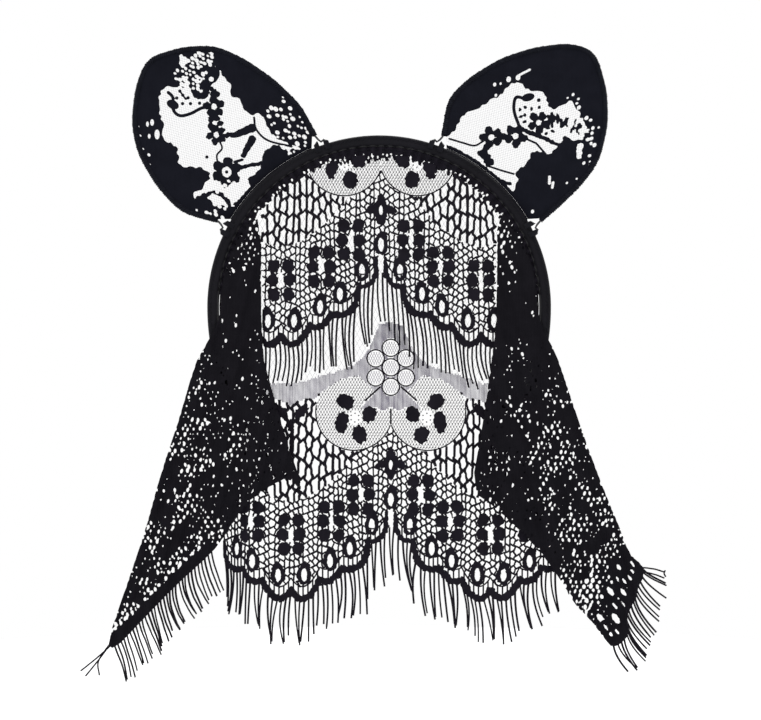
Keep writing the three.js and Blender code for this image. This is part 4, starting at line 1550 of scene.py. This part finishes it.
LEFT_STRAYS = (
    ((-115, -215), (-121.7, -221), (-129.6, -227.4)),
    ((-115.5, -214), (-121.3, -222), (-127.4, -229.6)),
    ((-116.5, -215), (-121.8, -223), (-121.6, -229.4)),
)
RIGHT_STRAYS = (
    ((113, -182.4), (119, -183.2), (124.2, -184.6)),
    ((113, -184), (119, -185.4), (124, -187.2)),
    ((124.4, -183.8), (123.9, -185.2), (124.6, -186.6)),
)


def drape_place(side):
    def place(x, z, out=0.0):
        x, z = np.asarray(x, float), np.asarray(z, float)
        down = np.clip((-z - 25) / 190, 0, 1)
        axis = side * x - (58 + 42 * down)
        folds = np.sin(axis * (0.62 - 0.28 * down) + 1.2 * np.sin(z / 31))
        folds += 0.4 * np.sin(axis * 1.37 + z / 13)
        height = np.interp(down, (0, 0.1, 0.35, 1), (0.35, 0.75, 0.75, 1.15))
        reach = np.hypot(x, z - ARCH_CENTRE)
        tucked = np.clip((reach - 62) / 7, 0, 1) * np.clip((z + 84) / 14, 0, 1)
        y = DRAPE_Y + 2.6 * tucked - folds * height * (1 - 0.6 * tucked) - np.broadcast_to(out, x.shape)
        return np.stack([x, y, z], -1)

    return place


def drape_openness(side):
    def zone(x, z):
        """More eyelets low down and towards the outer edge, few in the pleats, open net only at the top."""
        heights = (-215, -180, -140, -112, -95, -64, -48, -36)
        low = np.interp(z, heights, (0.95, 1.1, 0.8, 0.35, 0.07, 0.05, 0.5, 1.5))
        middle = np.interp(z, (-215, -90, -80, -60), (92, 62, 40, 20))
        out = np.interp(side * x - middle, (-30, -12, 6, 20), (0.25, 0.7, 1.2, 1.2))
        if side < 0:
            low *= np.interp(z, (-214, -192), (0.3, 1.0))
        drift = 0.42 + 0.95 * wander(x, z, 13.0, 0.6)
        at_top = np.clip((z + 50) / 14, 0, 1)
        return low * out * (max(0.0, drift) * (1 - at_top) + at_top) * 1.5

    return zone


def in_slack_patch(x, z):
    """The open patch low on the right drape."""
    return (x - 92.5) ** 2 / 26 + (z + 193.5) ** 2 / 60 < 1


def drape(side, word, shape, edge, seed, stitch_material, net_material):
    place = drape_place(side)
    flat = np.array(shape)
    low, high = flat.min(0), flat.max(0)
    cloth = ClothStitch((low[0] - 1, low[1] - 1, high[0] + 1, high[1] + 1), 0.5)
    cloth.work(outline(shape, 1), 0.25, 3.2)
    zone = drape_openness(side)
    box = (low[0], low[1], high[0], high[1])
    pinholes(cloth, box, 2.6, 1.0, seed, (0.26, 0.62), zone, 1.7)
    pinholes(cloth, box, 2.1, 0.25, seed + 3, (0.25, 0.4), lambda x, z: 1.0 if z < -85 else 0.25)
    cloth.work(stroke(edge, 4.4 if side < 0 else 3.0), 0.4, 2.2)
    inner = np.array(edge) + [-3.4, 4.2]
    if side > 0:
        for x, z, wide, high in RIGHT_DRAPE_SLOTS:
            cloth.work(oval(x, z, wide + 1.5, high + 1.6, 0.62), 0.3, 1.8)
            cloth.open(oval(x, z, wide, high, 0.62), 0.15, 1.5)
        pinholes(cloth, (84, -204, 101, -183), 2.6, 0.95, seed + 5, (0.5, 0.78), in_slack_patch, 1.45)
    for t in np.linspace(0.05, 0.95, 15) if side < 0 else ():
        x = np.interp(t, np.linspace(0, 1, len(inner)), inner[:, 0])
        z = np.interp(t, np.linspace(0, 1, len(inner)), inner[:, 1])
        cloth.open(oval(x, z, 0.7, 0.8))
    cloth.trim(outline(shape, 1))
    body = cloth.mesh("drape_lace_" + word, place, stitch_material, 0.12, 0.34, 1.3)

    lashes = Threads()
    line = smooth_line(edge)
    steps = lengths_along(line)
    at = np.arange(0.6, steps[-1], 1.9)
    roots = np.stack([np.interp(at, steps, line[:, 0]), np.interp(at, steps, line[:, 1])], -1)
    if side < 0:
        length, lean = 15.5, np.full(len(roots), 0.34)
    else:
        length = np.interp(roots[:, 1], (-217, -210, -201, -192, -186, -182), (10.5, 12.5, 15.5, 12.5, 7.5, 5))
        lean = np.interp(roots[:, 1], (-217, -201, -192, -186, -182), (0.57, 0.65, 0.72, 1.4, 2.0))
    eyelashes(lashes, place, roots, length, lambda r: lean, seed + 1)
    for stray in LEFT_STRAYS if side < 0 else RIGHT_STRAYS:
        p = smooth_line(stray)
        lashes.lay(place(p[:, 0], p[:, 1]), 0.36)
    fringe = lashes.spun("drape_fringe_" + word, net_material, 5)
    for obj in (body, fringe):
        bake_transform(obj)
    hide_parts("drape_pleat_" + word, "drape_tail_" + word)
    return body


# --- Making it all ---------------------------------------------------------------------

set_stage()

ribbon = ribbon_cloth("ribbon_cloth")
sewing_cotton = spun_thread("sewing_cotton", (0.004, 0.004, 0.0055), (0.013, 0.013, 0.017), 0.35)
ear_cloth = lace_cloth("ear_cloth_stitch", (0.0036, 0.0039, 0.0066), (0.0074, 0.0079, 0.0124), 0.55)
ear_tulle_yarn = spun_thread("ear_tulle_yarn", (0.25, 0.25, 0.27), (0.45, 0.45, 0.48), 0.3, 0.5)
ear_roll_yarn = spun_thread("ear_roll_yarn", (0.0045, 0.005, 0.0075), (0.012, 0.013, 0.019), 0.5)
veil_yarn = spun_thread("veil_yarn", (0.0038, 0.0032, 0.0052), (0.0125, 0.011, 0.016), 0.55)
veil_cloth = lace_cloth("veil_cloth_stitch", (0.0042, 0.0036, 0.0058), (0.0125, 0.011, 0.016), 0.6)
sheer_yarn = spun_thread("sheer_yarn", (0.10, 0.092, 0.125), (0.22, 0.2, 0.26), 0.4, 0.5, 0.05)
drape_cloth = lace_cloth("drape_cloth_stitch", (0.003, 0.0027, 0.004), (0.0078, 0.0072, 0.0096), 0.65)
drape_yarn = spun_thread("drape_yarn", (0.004, 0.0036, 0.0053), (0.0115, 0.0102, 0.0138), 0.55)
wire_enamel = streaked(
    "wire_enamel", 1.4, (0.010, 0.010, 0.012), (0.03, 0.03, 0.034), (0.32, 0.5), 0.03,
    Specular_IOR_Level=0.35, Coat_Weight=0.1,
)
strip_plastic = streaked("strip_plastic", 3.0, (0.012, 0.012, 0.014), (0.02, 0.02, 0.023), (0.38, 0.55), 0.04)

for node, material in (
    ("hoop_core", strip_plastic),
    ("band_lining", ribbon),
    ("ear_wire_left", wire_enamel),
    ("ear_wire_right", wire_enamel),
):
    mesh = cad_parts[node].data
    mesh.materials.clear()
    mesh.materials.append(material)

hoop_fabric(ribbon)
hoop_seam_stitches(sewing_cotton)
ear(-1, "left", LEFT_EAR, left_ear_flowers, left_ear_eyelets, ear_cloth, ear_tulle_yarn, ear_roll_yarn)
ear(1, "right", RIGHT_EAR, right_ear_flowers, right_ear_eyelets, ear_cloth, ear_tulle_yarn, ear_roll_yarn)
for side, word in ((-1, "left"), (1, "right")):
    for foot, foot_word in ((-1, "inner_"), (1, "outer_")):
        lashing(side, foot, foot_word + word, sewing_cotton)

ruffle(veil_cloth, sewing_cotton)

tier_pieces = veil(
    "tier", TIER_CENTRE, TIER_VALLEY, (-52.2, 51), veil_place(TIER_Y), tier_inside, (20, 25, 21.5, 17, 16.5),
    lambda r: 0.05 + 0.0022 * r[:, 0], 0.15, SEED + 20, (veil_yarn, veil_cloth, sheer_yarn), False,
)
for piece in tier_pieces:
    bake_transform(piece)
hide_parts("tier_yoke", "tier_flap")

skirt_pieces = veil(
    "skirt", SKIRT_CENTRE, SKIRT_VALLEY, (-79, 76), veil_place(VEIL_Y, -57.0), skirt_inside, (19, 20, 19, 18, 18),
    lambda r: 0.04 + 0.0016 * r[:, 0], 0.75, SEED + 30, (veil_yarn, veil_cloth, sheer_yarn), True,
)
skirt_pieces.append(veil_tulle(sheer_yarn))
for piece in skirt_pieces:
    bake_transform(piece)
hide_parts("veil_yoke", "veil_skirt")

drape(-1, "left", LEFT_DRAPE, LEFT_DRAPE_EDGE, SEED + 40, drape_cloth, drape_yarn)
drape(1, "right", RIGHT_DRAPE, RIGHT_DRAPE_EDGE, SEED + 50, drape_cloth, drape_yarn)
